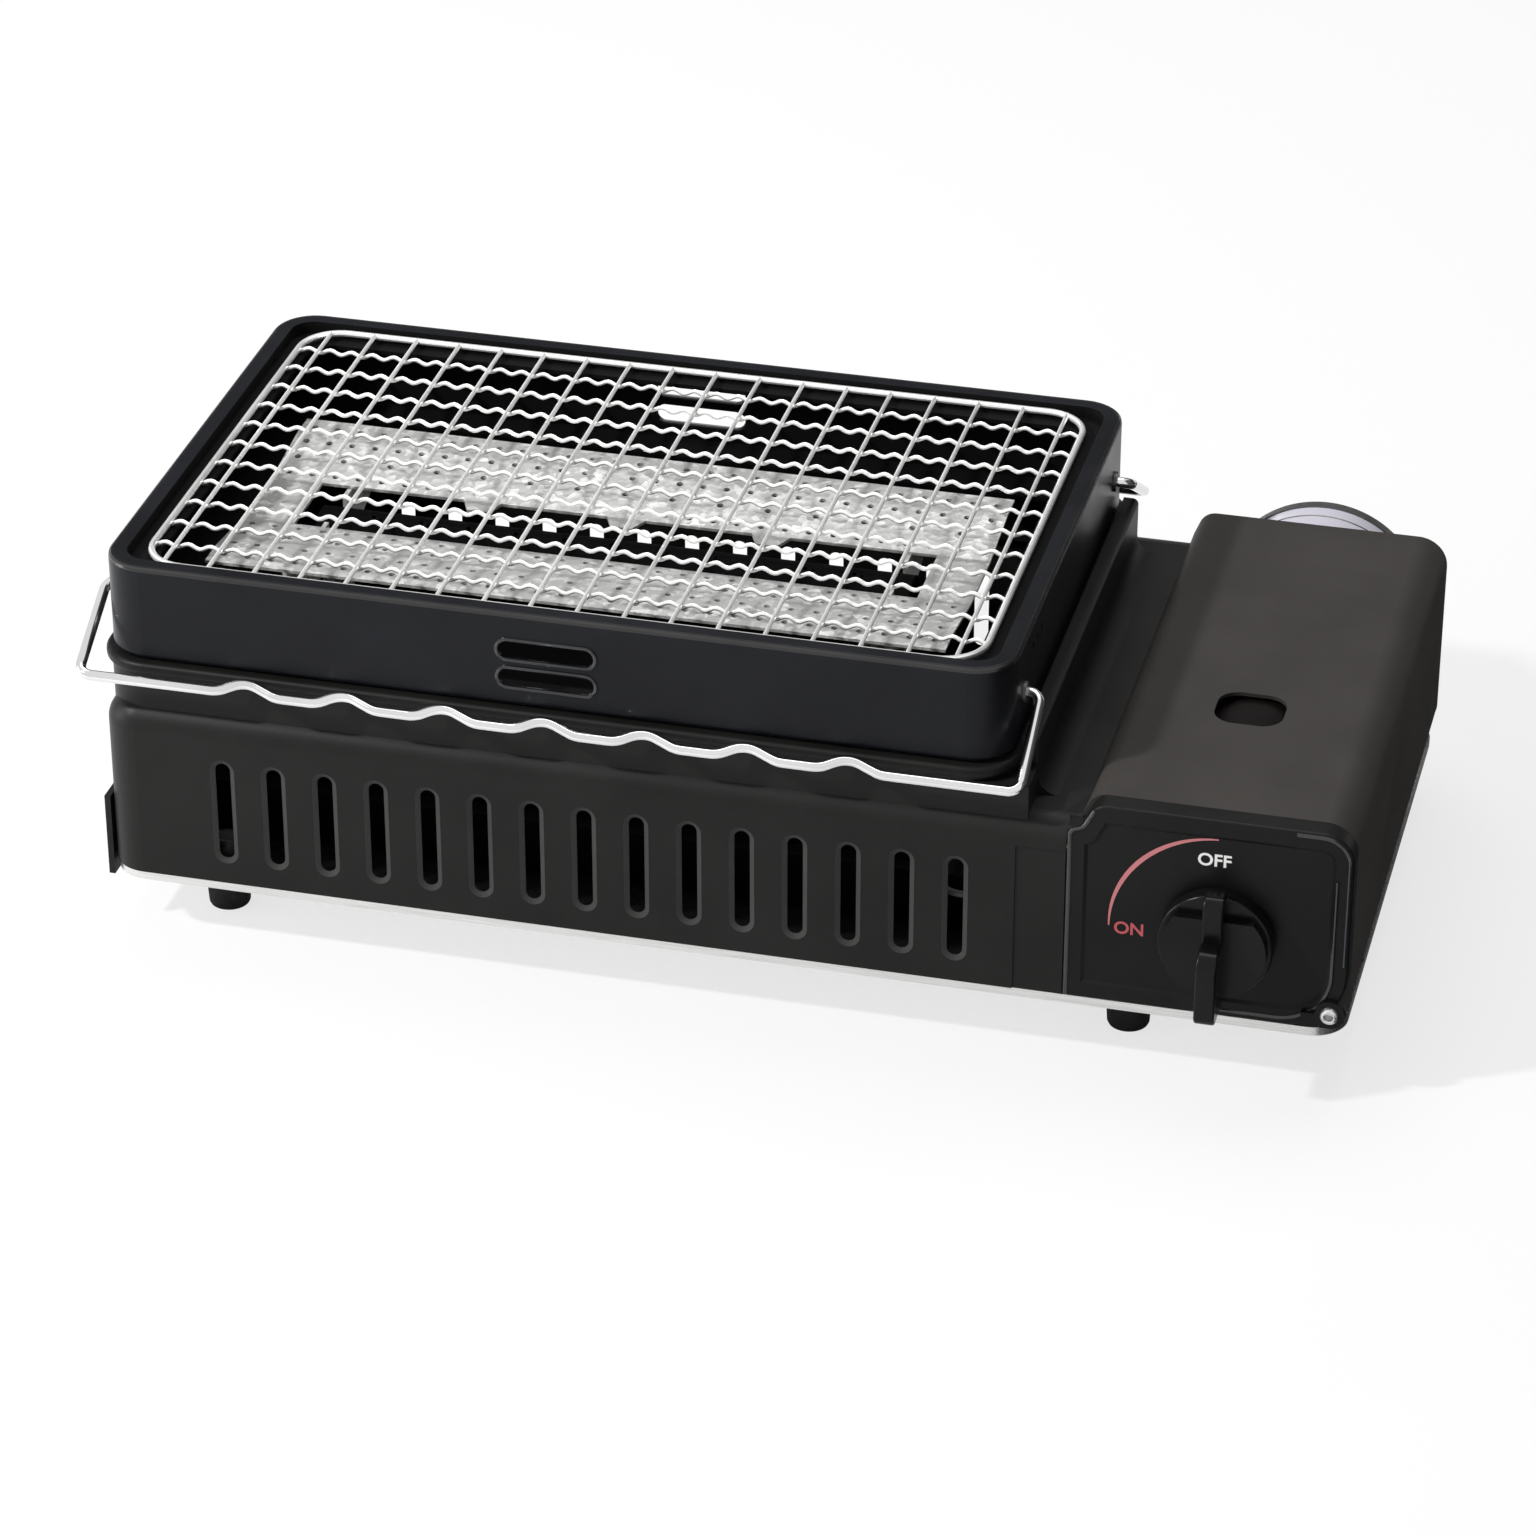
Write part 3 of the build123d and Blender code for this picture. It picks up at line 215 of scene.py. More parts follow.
# %% [markdown]
# ## One recipe, many finishes
#
# A finish is a Principled shader with two nearby colours that an effect mixes, a roughness that
# drifts a little with it, and a bump. What is the same all over the surface is set on the shader's
# own sockets, so that it survives the export.

# %% The finish recipe
middle_tone = 0.5
bump_distance = 0.2 * mm


def grey(level):
    return (level, level, level)


def make_finish(name, low, high, rough, effect, scale, bump,
                metallic=0.0, coat=0.0, specular=0.5, contrast=0.35):
    material = bpy.data.materials.new(name)
    material.use_nodes = True
    nodes = material.node_tree.nodes
    link = material.node_tree.links.new
    shader = nodes["Principled BSDF"]
    shader.inputs["Metallic"].default_value = metallic
    shader.inputs["Coat Weight"].default_value = coat
    shader.inputs["Specular IOR Level"].default_value = specular
    skin = nodes.new("ShaderNodeGroup")
    skin.node_tree = effect
    skin.inputs["Scale"].default_value = scale
    spread = nodes.new("ShaderNodeMapRange")
    spread.inputs["From Min"].default_value = middle_tone - contrast / 2
    spread.inputs["From Max"].default_value = middle_tone + contrast / 2
    link(skin.outputs["Tone"], spread.inputs["Value"])
    colour = nodes.new("ShaderNodeMix")
    colour.data_type = "RGBA"
    colour.inputs["A"].default_value = (*low, 1)
    colour.inputs["B"].default_value = (*high, 1)
    link(spread.outputs["Result"], colour.inputs["Factor"])
    link(colour.outputs["Result"], shader.inputs["Base Color"])
    dull = nodes.new("ShaderNodeMapRange")
    dull.inputs["To Min"].default_value = rough[0]
    dull.inputs["To Max"].default_value = rough[1]
    link(spread.outputs["Result"], dull.inputs["Value"])
    link(dull.outputs["Result"], shader.inputs["Roughness"])
    relief = nodes.new("ShaderNodeBump")
    relief.inputs["Strength"].default_value = bump
    relief.inputs["Distance"].default_value = bump_distance
    link(skin.outputs["Height"], relief.inputs["Height"])
    link(relief.outputs["Normal"], shader.inputs["Normal"])
    return material


# %% [markdown]
# ## Paints
#
# The box, the tray and the cover are sheet steel under a heat-proof black paint, but not the same
# black: the tray is a touch blue and glossier, the cover is a warm grey, and the control panel is
# the darkest. Where a sheet is rolled over, the paint has run smooth and shines. The flares of the
# air slots are a lighter grey, which is painted highlight for the light their slopes catch. The can
# is lacquered a pale lavender, with a dark sleeve that is painted shade under the cover. The parts
# inside the box are near black, which is painted shade.

# %% Paints of the large sheets
body_paint = make_finish(
    "body_paint", (0.008, 0.008, 0.0076), (0.0115, 0.0115, 0.011), rough=(0.4, 0.48),
    effect=orange_peel, scale=1400, bump=0.12, specular=0.15)
tray_paint = make_finish(
    "tray_paint", (0.006, 0.0064, 0.0082), (0.0088, 0.0094, 0.012), rough=(0.28, 0.36),
    effect=orange_peel, scale=1400, bump=0.1, specular=0.14)
cover_paint = make_finish(
    "cover_paint", (0.04, 0.0365, 0.034), (0.05, 0.046, 0.043), rough=(0.5, 0.6),
    effect=orange_peel, scale=1600, bump=0.16, specular=0.1)
panel_paint = make_finish(
    "panel_paint", (0.005, 0.005, 0.0048), (0.008, 0.008, 0.0078), rough=(0.34, 0.42),
    effect=orange_peel, scale=1400, bump=0.1, specular=0.13)
# painted shade: a near-black colour for the parts inside the box, where shade falls
painted_inside_shade = make_finish(
    "painted_inside_shade", grey(0.003), grey(0.005), rough=(0.5, 0.62),
    effect=orange_peel, scale=1200, bump=0.15, specular=0.08)
print("paints of the sheets made")

# %% Paints of edges and of the can
edge_paint = make_finish(
    "edge_paint", (0.009, 0.009, 0.0095), (0.014, 0.014, 0.0145), rough=(0.2, 0.28),
    effect=orange_peel, scale=1400, bump=0.05, specular=0.5)
# painted highlight: the slot flares are several times lighter than the body paint, for the light
# their slopes catch
flare_highlight_paint = make_finish(
    "flare_highlight_paint", (0.04, 0.04, 0.039), (0.05, 0.05, 0.049), rough=(0.5, 0.6),
    effect=orange_peel, scale=1400, bump=0.1, specular=0.06)
lip_paint = make_finish(
    "lip_paint", (0.006, 0.0064, 0.0082), (0.0088, 0.0094, 0.012), rough=(0.14, 0.2),
    effect=orange_peel, scale=1400, bump=0.05, specular=0.7)
can_lacquer = make_finish(
    "can_lacquer", (0.62, 0.6, 0.68), (0.7, 0.68, 0.76), rough=(0.22, 0.3),
    effect=orange_peel, scale=600, bump=0.04, coat=0.3)
# painted shade: a dark band on the can, for the shade under the cover's finger hole
can_painted_shade = make_finish(
    "can_painted_shade", (0.004, 0.003, 0.003), (0.007, 0.005, 0.005), rough=(0.4, 0.5),
    effect=orange_peel, scale=900, bump=0.05, specular=0.1)
print("paints of the edges and the can made")

# %% [markdown]
# ## Plastic, rubber and ceramic
#
# The knob and the igniter are moulded plastic, the feet are rubber, the ignition lead has a soft
# sleeve, and its insulator is glazed white. The moulded parts use the paint's effect at a finer
# scale, because a mould leaves the same kind of fine grain.

# %% Moulded and glazed finishes
knob_plastic = make_finish(
    "knob_plastic", grey(0.004), grey(0.007), rough=(0.16, 0.24),
    effect=orange_peel, scale=2600, bump=0.12, specular=0.15)
foot_rubber = make_finish(
    "foot_rubber", grey(0.008), grey(0.014), rough=(0.6, 0.75),
    effect=orange_peel, scale=1800, bump=0.25, specular=0.2)
lead_sleeve = make_finish(
    "lead_sleeve", grey(0.03), grey(0.05), rough=(0.5, 0.6),
    effect=orange_peel, scale=2000, bump=0.1)
insulator_glaze = make_finish(
    "insulator_glaze", (0.7, 0.69, 0.66), (0.78, 0.77, 0.74), rough=(0.15, 0.22),
    effect=orange_peel, scale=900, bump=0.05, coat=0.3)
print("moulded and glazed finishes made")

# %% [markdown]
# ## Metals
#
# The skewer rests are bright chrome and the net is plated. The base plate shows its cut edge of
# rolled stainless steel all round the bottom. The radiant plate is coated sheet with a crystal
# mottle, and the burner is dark cast metal. The valve block is cast, and the pipework is brass.

# %% Bright metals
chrome = make_finish(
    "bright_chrome", grey(0.66), grey(0.76), rough=(0.05, 0.1),
    effect=orange_peel, scale=900, bump=0.03, metallic=1.0)
net_plating = make_finish(
    "net_plating", (0.9, 0.9, 0.89), (0.97, 0.97, 0.96), rough=(0.24, 0.34),
    effect=orange_peel, scale=1100, bump=0.05, metallic=0.55)
stainless = make_finish(
    "rolled_stainless", (0.62, 0.62, 0.61), (0.76, 0.76, 0.75), rough=(0.24, 0.38),
    effect=rolled_lines, scale=2600, bump=0.12, metallic=1.0)
coated_sheet = make_finish(
    "coated_sheet", (0.5, 0.505, 0.49), (1.0, 1.0, 0.98), rough=(0.3, 0.5),
    effect=spangle, scale=460, bump=0.6, metallic=0.3, contrast=0.5)
turned_brass = make_finish(
    "turned_brass", (0.6, 0.45, 0.2), (0.72, 0.56, 0.28), rough=(0.25, 0.36),
    effect=rolled_lines, scale=2200, bump=0.1, metallic=1.0)
print("bright metals made")

# %% Dark metals
burner_iron = make_finish(
    "burner_iron", grey(0.0015), grey(0.003), rough=(0.75, 0.85),
    effect=orange_peel, scale=1500, bump=0.35, specular=0.04)
dark_steel = make_finish(
    "dark_steel", grey(0.1), grey(0.16), rough=(0.35, 0.48),
    effect=rolled_lines, scale=1800, bump=0.1, metallic=0.9)
cast_alloy = make_finish(
    "cast_alloy", grey(0.42), grey(0.55), rough=(0.45, 0.6),
    effect=orange_peel, scale=1200, bump=0.3, metallic=0.9)
print("dark metals made")

# %% [markdown]
# ## Dress the solids
#
# Each solid keeps its shape and takes one finish, through its object's own material slots. A table
# from finish to solids shows at a glance which pieces are made of the same stuff.

# %% Give every solid its finish
solid_finishes = {
    body_paint: ["body_shell", "left_end_plate"],
    cover_paint: ["cartridge_cover"],
    panel_paint: ["control_panel", "hinge_lugs"],
    knob_plastic: ["knob", "piezo_igniter"],
    foot_rubber: ["rubber_feet"],
    lead_sleeve: ["ignition_lead"],
    insulator_glaze: ["spark_insulator"],
    can_lacquer: ["cartridge_can"],
    chrome: ["front_skewer_rest", "rear_skewer_rest"],
    net_plating: ["grill_net"],
    painted_inside_shade: ["heat_shield", "drip_tray", "cartridge_cradle"],
    stainless: ["base_screws", "foot_screws", "valve_spindle", "igniter_plunger",
                "spark_electrode", "cartridge_valve", "hinge_pins"],
    coated_sheet: ["radiant_plate", "burner_brackets"],
    burner_iron: ["burner_tube", "mixing_tube", "holding_magnet"],
    dark_steel: ["cartridge_seam", "rest_bushings"],
    cast_alloy: ["regulator", "regulator_cap"],
    turned_brass: ["mixing_mouth", "gas_jet", "jet_holder", "gas_pipe"],
}


def dress(node, material):
    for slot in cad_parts[node].material_slots:
        slot.material = material


for finish, names in solid_finishes.items():
    for name in names:
        dress(name, finish)
print("solids dressed:", sum(len(names) for names in solid_finishes.values()))

# %% [markdown]
# ## Painted shade inside two open boxes
#
# The base plate is bare steel where its edge shows under the box, but its upper side, the floor of
# the burner box, is made dark as painted shade. The tray is glossy outside, and dull and near black
# inside, which is painted shade on its inner walls. The solids can't be cut into two pieces here, so
# the material has to tell the sides apart. Both are open boxes, and one effect serves both: a point
# is inside if its face looks towards the middle of the box's mouth. The group puts out that mask, and
# each material mixes its painted shade colour with it.

# %% The inside mask
def make_inside_mask():
    group = bpy.data.node_groups.new("inside_of_open_box", "ShaderNodeTree")
    group.interface.new_socket("Mouth", in_out="INPUT", socket_type="NodeSocketVector")
    group.interface.new_socket("Inside", in_out="OUTPUT", socket_type="NodeSocketFloat")
    entry = group.nodes.new("NodeGroupInput")
    leave = group.nodes.new("NodeGroupOutput")
    place = group.nodes.new("ShaderNodeTexCoord")
    away = group.nodes.new("ShaderNodeVectorMath")
    away.operation = "SUBTRACT"
    group.links.new(place.outputs["Object"], away.inputs[0])
    group.links.new(entry.outputs["Mouth"], away.inputs[1])
    facing = group.nodes.new("ShaderNodeVectorMath")
    facing.operation = "DOT_PRODUCT"
    group.links.new(place.outputs["Normal"], facing.inputs[0])
    group.links.new(away.outputs["Vector"], facing.inputs[1])
    inside = group.nodes.new("ShaderNodeMath")
    inside.operation = "LESS_THAN"
    inside.inputs[1].default_value = 0
    group.links.new(facing.outputs["Value"], inside.inputs[0])
    group.links.new(inside.outputs[0], leave.inputs["Inside"])
    return group


inside_mask = make_inside_mask()
print("made the group", inside_mask.name)


# %% A helper that paints shade on the inside of a box
def paint_shade_inside(material, node, mouth_depth, colour, socket_name, value):
    low, high = (Vector(corner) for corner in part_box(node))
    mouth = ((low.x + high.x) / 2, (low.y + high.y) / 2, high.z - mouth_depth)
    nodes = material.node_tree.nodes
    link = material.node_tree.links.new
    shader = nodes["Principled BSDF"]
    mask = nodes.new("ShaderNodeGroup")
    mask.node_tree = inside_mask
    mask.inputs["Mouth"].default_value = mouth
    coated = nodes.new("ShaderNodeMix")
    coated.data_type = "RGBA"
    coated.inputs["B"].default_value = (*colour, 1)
    link(mask.outputs["Inside"], coated.inputs["Factor"])
    link(shader.inputs["Base Color"].links[0].from_socket, coated.inputs["A"])
    link(coated.outputs["Result"], shader.inputs["Base Color"])
    level = nodes.new("ShaderNodeMix")
    level.inputs["A"].default_value = shader.inputs[socket_name].default_value
    level.inputs["B"].default_value = value
    if shader.inputs[socket_name].links:
        link(shader.inputs[socket_name].links[0].from_socket, level.inputs["A"])
    link(mask.outputs["Inside"], level.inputs["Factor"])
    link(level.outputs["Result"], shader.inputs[socket_name])
    dress(node, material)
    print("coated the inside of", node)


# %% Paint shade on the base plate's floor and the tray's inner walls
base_steel = stainless.copy()
base_steel.name = "base_steel"
paint_shade_inside(base_steel, "base_plate", mouth_depth=0.5 * mm, colour=grey(0.004),
            socket_name="Metallic", value=0)
paint_shade_inside(tray_paint, "grill_tray", mouth_depth=2 * mm, colour=(0.0015, 0.0015, 0.0018),
            socket_name="Roughness", value=0.85)

# %% [markdown]
# ## Wire
#
# Much of this grill is wire or ends in a rolled edge that looks like one. A wire could be a circle
# extruded along many points, but Blender's curve tool is made for it: each wire is a line of points,
# the bevel gives it its round section, and the result is turned into a mesh. A ring of wire follows
# a rounded oblong, whose corners are quarter arcs.

# %% A helper that turns lines into round wire
thin_wire_rings = 2
thick_wire_rings = 3


def wire_mesh(name, lines, radius, rings, closed):
    curve = bpy.data.curves.new(name, "CURVE")
    curve.dimensions = "3D"
    curve.bevel_depth = radius
    curve.bevel_resolution = rings
    curve.use_fill_caps = True
    for line in lines:
        spline = curve.splines.new("POLY")
        spline.points.add(len(line) - 1)
        for point, place in zip(spline.points, line):
            point.co = (*place, 1)
        spline.use_cyclic_u = closed
    maker = bpy.data.objects.new(name, curve)
    mesh = bpy.data.meshes.new_from_object(maker)
    bpy.data.objects.remove(maker)
    bpy.data.curves.remove(curve)
    return mesh


def add_wire(name, lines, radius, rings, body, material, closed=True):
    mesh = wire_mesh(name, lines, radius, rings, closed)
    return add_mesh(name, mesh, body, material)


# %% Rounded oblongs for rings of wire
quarter_turn = math.pi / 2
corner_sides = ((1, 1), (-1, 1), (-1, -1), (1, -1))
end_share = 0.999


def corner_arc(centre, radius, start_turn, steps):
    turns = [start_turn + quarter_turn * step / steps for step in range(steps + 1)]
    return [centre + Vector((math.cos(turn), math.sin(turn), 0)) * radius for turn in turns]


def rounded_loop(middle, half_x, half_y, radius, steps):
    loop = []
    for index, (side_x, side_y) in enumerate(corner_sides):
        corner = Vector((side_x * (half_x - radius), side_y * (half_y - radius), 0))
        loop += corner_arc(middle + corner, radius, index * quarter_turn, steps)
    return loop


def round_ended_loop(middle, half_x, half_y, steps):
    # The corners stay a hair short of half the width, so that no two points fall together.
    return rounded_loop(middle, half_x, half_y, min(half_x, half_y) * end_share, steps)


def stood_up(loop, y, lift=0):
    return [Vector((spot.x, y, lift + spot.y)) for spot in loop]


# %% [markdown]
# ## The net
#
# The real net is a round frame wire with straight wires welded across it, and crimped wires along it
# whose waves the straight wires sit in. In the solids it is one holed sheet, which is quick to test
# for contact but looks stamped. Here every wire is drawn, in the same space, and the frame wire
# stands for the sheet.

# %% The frame wire
net_low, net_high = (Vector(corner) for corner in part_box("grill_net"))
net_middle = (net_low + net_high) / 2
frame_radius = 1.1 * mm
half_x = (net_high.x - net_low.x) / 2 - frame_radius
half_y = (net_high.y - net_low.y) / 2 - frame_radius
net_corner_radius = 14 * mm
frame_steps = 10

frame_middle = Vector((net_middle.x, net_middle.y, net_high.z - frame_radius))
frame_line = rounded_loop(frame_middle, half_x, half_y, net_corner_radius, frame_steps)
net_frame = add_wire("net_frame", [frame_line], frame_radius, thick_wire_rings,
                     "net", net_plating)
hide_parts("grill_net")


# %% The straight wires
def end_of_wire(offset, half_length, half_width):
    # A wire near the side meets the frame inside its rounded corner, so it is shorter.
    into_corner = abs(offset) - (half_width - net_corner_radius)
    if into_corner <= 0:
        return half_length
    drop = net_corner_radius - math.sqrt(net_corner_radius ** 2 - into_corner ** 2)
    return half_length - drop


straight_count = 18
straight_radius = 0.75 * mm
straight_rise = 0.7 * mm
straight_pitch = 2 * half_x / straight_count
straight_lines = []
for index in range(straight_count):
    x = (index - (straight_count - 1) / 2) * straight_pitch
    reach = end_of_wire(x, half_y, half_x) + frame_radius / 2
    straight_lines.append([net_middle + Vector((x, side * reach, straight_rise))
                           for side in (-1, 1)])
add_wire("net_straight_wires", straight_lines, straight_radius, thin_wire_rings,
         "net", net_plating, closed=False)

# %% The crimped wires
crimped_count = 11
crimped_radius = 0.7 * mm
crimp_height = 1.4 * mm
crimps_per_cell = 2
steps_per_crimp = 8
crimp_middle = straight_rise - straight_radius - crimped_radius + crimp_height / 2
crimped_pitch = 2 * half_y / (crimped_count + 1)
crimped_lines = []
for index in range(crimped_count):
    y = (index - (crimped_count - 1) / 2) * crimped_pitch
    reach = end_of_wire(y, half_x, half_y)
    steps = round(2 * reach / straight_pitch * crimps_per_cell * steps_per_crimp)
    line = []
    for step in range(steps + 1):
        x = -reach + 2 * reach * step / steps
        wave = math.cos(2 * math.pi * crimps_per_cell * (x / straight_pitch - 0.5))
        line.append(net_middle + Vector((x, y, crimp_middle - wave * crimp_height / 2)))
    crimped_lines.append(line)
add_wire("net_crimped_wires", crimped_lines, crimped_radius, thin_wire_rings,
         "net", net_plating, closed=False)

# %% [markdown]
# ## Turned pieces
#
# The feet, the rivets at the hinge and the can's sleeve are round. They could start as cylinders
# with bevelled edges, but a profile spun once round its axis gives every radius directly. A profile
# is a few points, each given as a radius and a height along the axis.

# %% A helper that spins a profile
turn_steps = 32
merge_distance = 0.01 * mm


def spun(shape, profile, origin, axis, steps=turn_steps):
    axis = Vector(axis).normalized()
    across = axis.orthogonal().normalized()
    verts = [shape.verts.new(origin + across * radius + axis * height)
             for radius, height in profile]
    edges = [shape.edges.new(pair) for pair in zip(verts, verts[1:])]
    bmesh.ops.spin(shape, geom=verts + edges, cent=origin, axis=axis, angle=2 * math.pi,
                   steps=steps, use_merge=True)


def close_spun(shape):
    bmesh.ops.remove_doubles(shape, verts=shape.verts, dist=merge_distance)
    bmesh.ops.recalc_face_normals(shape, faces=shape.faces)


# %% Feet with a soft lower edge and a dimple
foot_low, foot_high = (Vector(corner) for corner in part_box("rubber_feet"))
foot_top_radius = 8.0 * mm
foot_bottom_radius = 6.8 * mm
foot_edge = 1.2 * mm
foot_dimple = 2.5 * mm
foot_dimple_depth = 1.0 * mm
foot_height = foot_high.z - foot_low.z
foot_profile = [
    (0, foot_dimple_depth), (foot_dimple, foot_dimple_depth), (foot_dimple + foot_edge / 2, 0),
    (foot_bottom_radius - foot_edge, 0), (foot_bottom_radius - foot_edge / 3, foot_edge / 3),
    (foot_bottom_radius, foot_edge), (foot_top_radius, foot_height - foot_edge),
    (foot_top_radius, foot_height), (0, foot_height)]
feet = bmesh.new()
for x in (foot_low.x + foot_top_radius, foot_high.x - foot_top_radius):
    for y in (foot_low.y + foot_top_radius, foot_high.y - foot_top_radius):
        spun(feet, foot_profile, Vector((x, y, 0)), (0, 0, 1))
close_spun(feet)
turned_feet = add_piece("turned_feet", feet, "body", foot_rubber)
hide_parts("rubber_feet")

# %% Rolled rivets at the cover's hinge
pin_low, pin_high = (Vector(corner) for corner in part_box("hinge_pins"))
rivet_axis = (pin_low + pin_high) / 2
head_radius = (pin_high.x - pin_low.x) / 2
shank_radius = head_radius / 2
head_height = 1.4 * mm
shank_length = 13 * mm
rivet_hollow = 3.0 * mm
hollow_share = 0.36
rolled_head = ((0.46, 0.9), (0.6, 1), (0.85, 0.8), (1, 0.3), (1, 0))
rivet_floor = head_height - rivet_hollow
rivet_profile = [(0, rivet_floor), (head_radius * hollow_share, rivet_floor)]
rivet_profile += [(head_radius * out, head_height * up) for out, up in rolled_head]
rivet_profile += [(shank_radius, 0), (shank_radius, -shank_length), (0, -shank_length)]
rivets = bmesh.new()
for y, outwards in ((pin_low.y + head_height, -1), (pin_high.y - head_height, 1)):
    spun(rivets, rivet_profile, Vector((rivet_axis.x, y, rivet_axis.z)), (0, outwards, 0))
close_spun(rivets)
hinge_rivets = add_piece("hinge_rivets", rivets, "body", stainless)
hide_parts("hinge_pins")

# %% The can's dark sleeve, painted shade under the cover
can_low, can_high = (Vector(corner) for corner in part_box("cartridge_can"))
can_axis = (can_low + can_high) / 2
can_radius = (can_high.z - can_low.z) / 2
can_steps = 96
sleeve_thickness = 0.1 * mm
sleeve_start = 14 * mm
sleeve_margin = 26 * mm
sleeve_end = can_high.y - can_low.y - sleeve_margin
inner_radius = can_radius - sleeve_thickness
outer_radius = can_radius + sleeve_thickness
sleeve_profile = [(inner_radius, sleeve_start), (outer_radius, sleeve_start),
                  (outer_radius, sleeve_end), (inner_radius, sleeve_end),
                  (inner_radius, sleeve_start)]
sleeve = bmesh.new()
spun(sleeve, sleeve_profile, Vector((can_axis.x, can_low.y, can_axis.z)), (0, 1, 0), can_steps)
close_spun(sleeve)
add_piece("can_shade_sleeve", sleeve, "cartridge", can_painted_shade)

# %% A rolled bead in front of the can's seam
bead_from_end = 6 * mm
can_bead_radius = 0.5 * mm
can_bead_sunk = 0.25 * mm
can_bead_steps = 24
can_bead_half = can_radius - can_bead_sunk
can_bead_middle = Vector((can_axis.x, can_axis.z, 0))
can_loop = round_ended_loop(can_bead_middle, can_bead_half, can_bead_half, can_bead_steps)
add_wire("can_bead", [stood_up(can_loop, can_high.y - bead_from_end)],
         can_bead_radius, thin_wire_rings, "cartridge", dark_steel)

# %% [markdown]
# ## Rolled lips round the tray's vents
#
# The two vents at the front and the two at the back are pressed through the wall, and their edges
# are rolled over. The tray's solid stays as it is, so the roll can't be a bevel on it: it is a closed
# round wire that follows the vent's outline.

# %% Vent lips
tray_low, tray_high = (Vector(corner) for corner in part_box("grill_tray"))
vent_half_length = 16 * mm
vent_half_height = 3.6 * mm
vent_rise = 15.4 * mm
vent_pitch = 9.8 * mm
vent_steps = 8
lip_radius = 0.7 * mm
vent_middle = Vector(((tray_low.x + tray_high.x) / 2, 0, 0))
vent_loop = round_ended_loop(vent_middle, vent_half_length, vent_half_height, vent_steps)
vent_lines = []
for wall_y in (tray_low.y, tray_high.y):
    for row in (-0.5, 0.5):
        vent_z = tray_low.z + vent_rise + row * vent_pitch
        vent_lines.append(stood_up(vent_loop, wall_y, vent_z))
add_wire("vent_lips", vent_lines, lip_radius, thin_wire_rings,
         "tray", lip_paint)

# %% [markdown]
# ## The tray's rolled rim
#
# The enamelled sheet is rolled over along the rim, and the roll keeps a line of light along its
# outer and its inner edge. Each is a closed round wire set into the rim's corner, so it adds the
# soft edge and leaves the rim's size alone.

# %% Rim roll
rim_radius = 1.3 * mm
rim_width = 6 * mm
tray_corner_radius = 14 * mm
rim_steps = 10
rim_corner_radius = tray_corner_radius - rim_radius
rim_middle = (tray_low + tray_high) / 2
rim_middle.z = tray_high.z - rim_radius
rim_half = (tray_high - tray_low) / 2 - Vector((rim_radius, rim_radius, 0))
rim_line = rounded_loop(rim_middle, rim_half.x, rim_half.y, rim_corner_radius, rim_steps)
inner_half = rim_half - Vector((1, 1, 0)) * (rim_width - 2 * rim_radius)
inner_corner_radius = rim_corner_radius - rim_width + 2 * rim_radius
inner_line = rounded_loop(rim_middle, inner_half.x, inner_half.y, inner_corner_radius, rim_steps)
add_wire("tray_rim_roll", [rim_line, inner_line], rim_radius, thick_wire_rings,
         "tray", edge_paint)

# %% [markdown]
# ## Painted highlight on the flared edges of the air slots
#
# Each air slot is pierced and its edge is pressed inwards, which leaves a sloped ring round the slot.
# The solid has the slope, and this ring is a lighter skin on it, a painted highlight for the light
# that the slope catches: four copies of the slot's outline at two sizes and several depths, bridged
# into a closed strip that lies on the slope.

# %% A helper that makes one flare
slot_half_width = 2.5 * mm
slot_steps = 6
flare_width = 1.6 * mm
flare_depth = 0.9 * mm
flare_lift = 0.04 * mm
flare_back = 0.2 * mm
flare_section = ((flare_width, -flare_lift), (0, flare_depth - flare_lift),
                 (0, flare_depth + flare_back), (flare_width, flare_back))


def flare_ring(shape, middle, half_length, inwards):
    flat_middle = Vector((middle.x, middle.z, 0))
    rings = []
    for spread, depth in flare_section:
        outline = round_ended_loop(flat_middle, slot_half_width + spread, half_length + spread,
                                   slot_steps)
        verts = [shape.verts.new(spot) for spot in stood_up(outline, middle.y + inwards * depth)]
        rings.append([shape.edges.new(pair) for pair in zip(verts, verts[1:] + verts[:1])])
    for first, second in zip(rings, rings[1:] + rings[:1]):
        bmesh.ops.bridge_loops(shape, edges=first + second)


# %% Flares at the front and at the back
shell_low, shell_high = (Vector(corner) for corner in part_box("body_shell"))
slot_count = 15
slot_first_x = shell_low.x + 42.4 * mm
slot_pitch = 17.075 * mm
slot_foot_z = shell_low.z + 9 * mm
front_half_length = 17.5 * mm
back_half_length = 14.75 * mm
flares = bmesh.new()
for wall_y, half_length, inwards in ((shell_low.y, front_half_length, 1),
                                     (shell_high.y, back_half_length, -1)):
    for index in range(slot_count):
        spot = Vector((slot_first_x + index * slot_pitch, wall_y, slot_foot_z + half_length))
        flare_ring(flares, spot, half_length, inwards)
bmesh.ops.recalc_face_normals(flares, faces=flares.faces)
add_piece("slot_flare_highlights", flares, "body", flare_highlight_paint)

# %% [markdown]
# ## Beads on the control panel
#
# The panel is a pressed sheet. The inside of its right border, its top right corner and its left
# edge stand up as narrow rounded beads that catch the light. A bead is a round wire of glossy paint,
# sunk in the panel's face for most of its depth. The first follows the border down and round the
# large corner beside the rivet, the second turns the top right corner, and the third steps along the
# left edge.

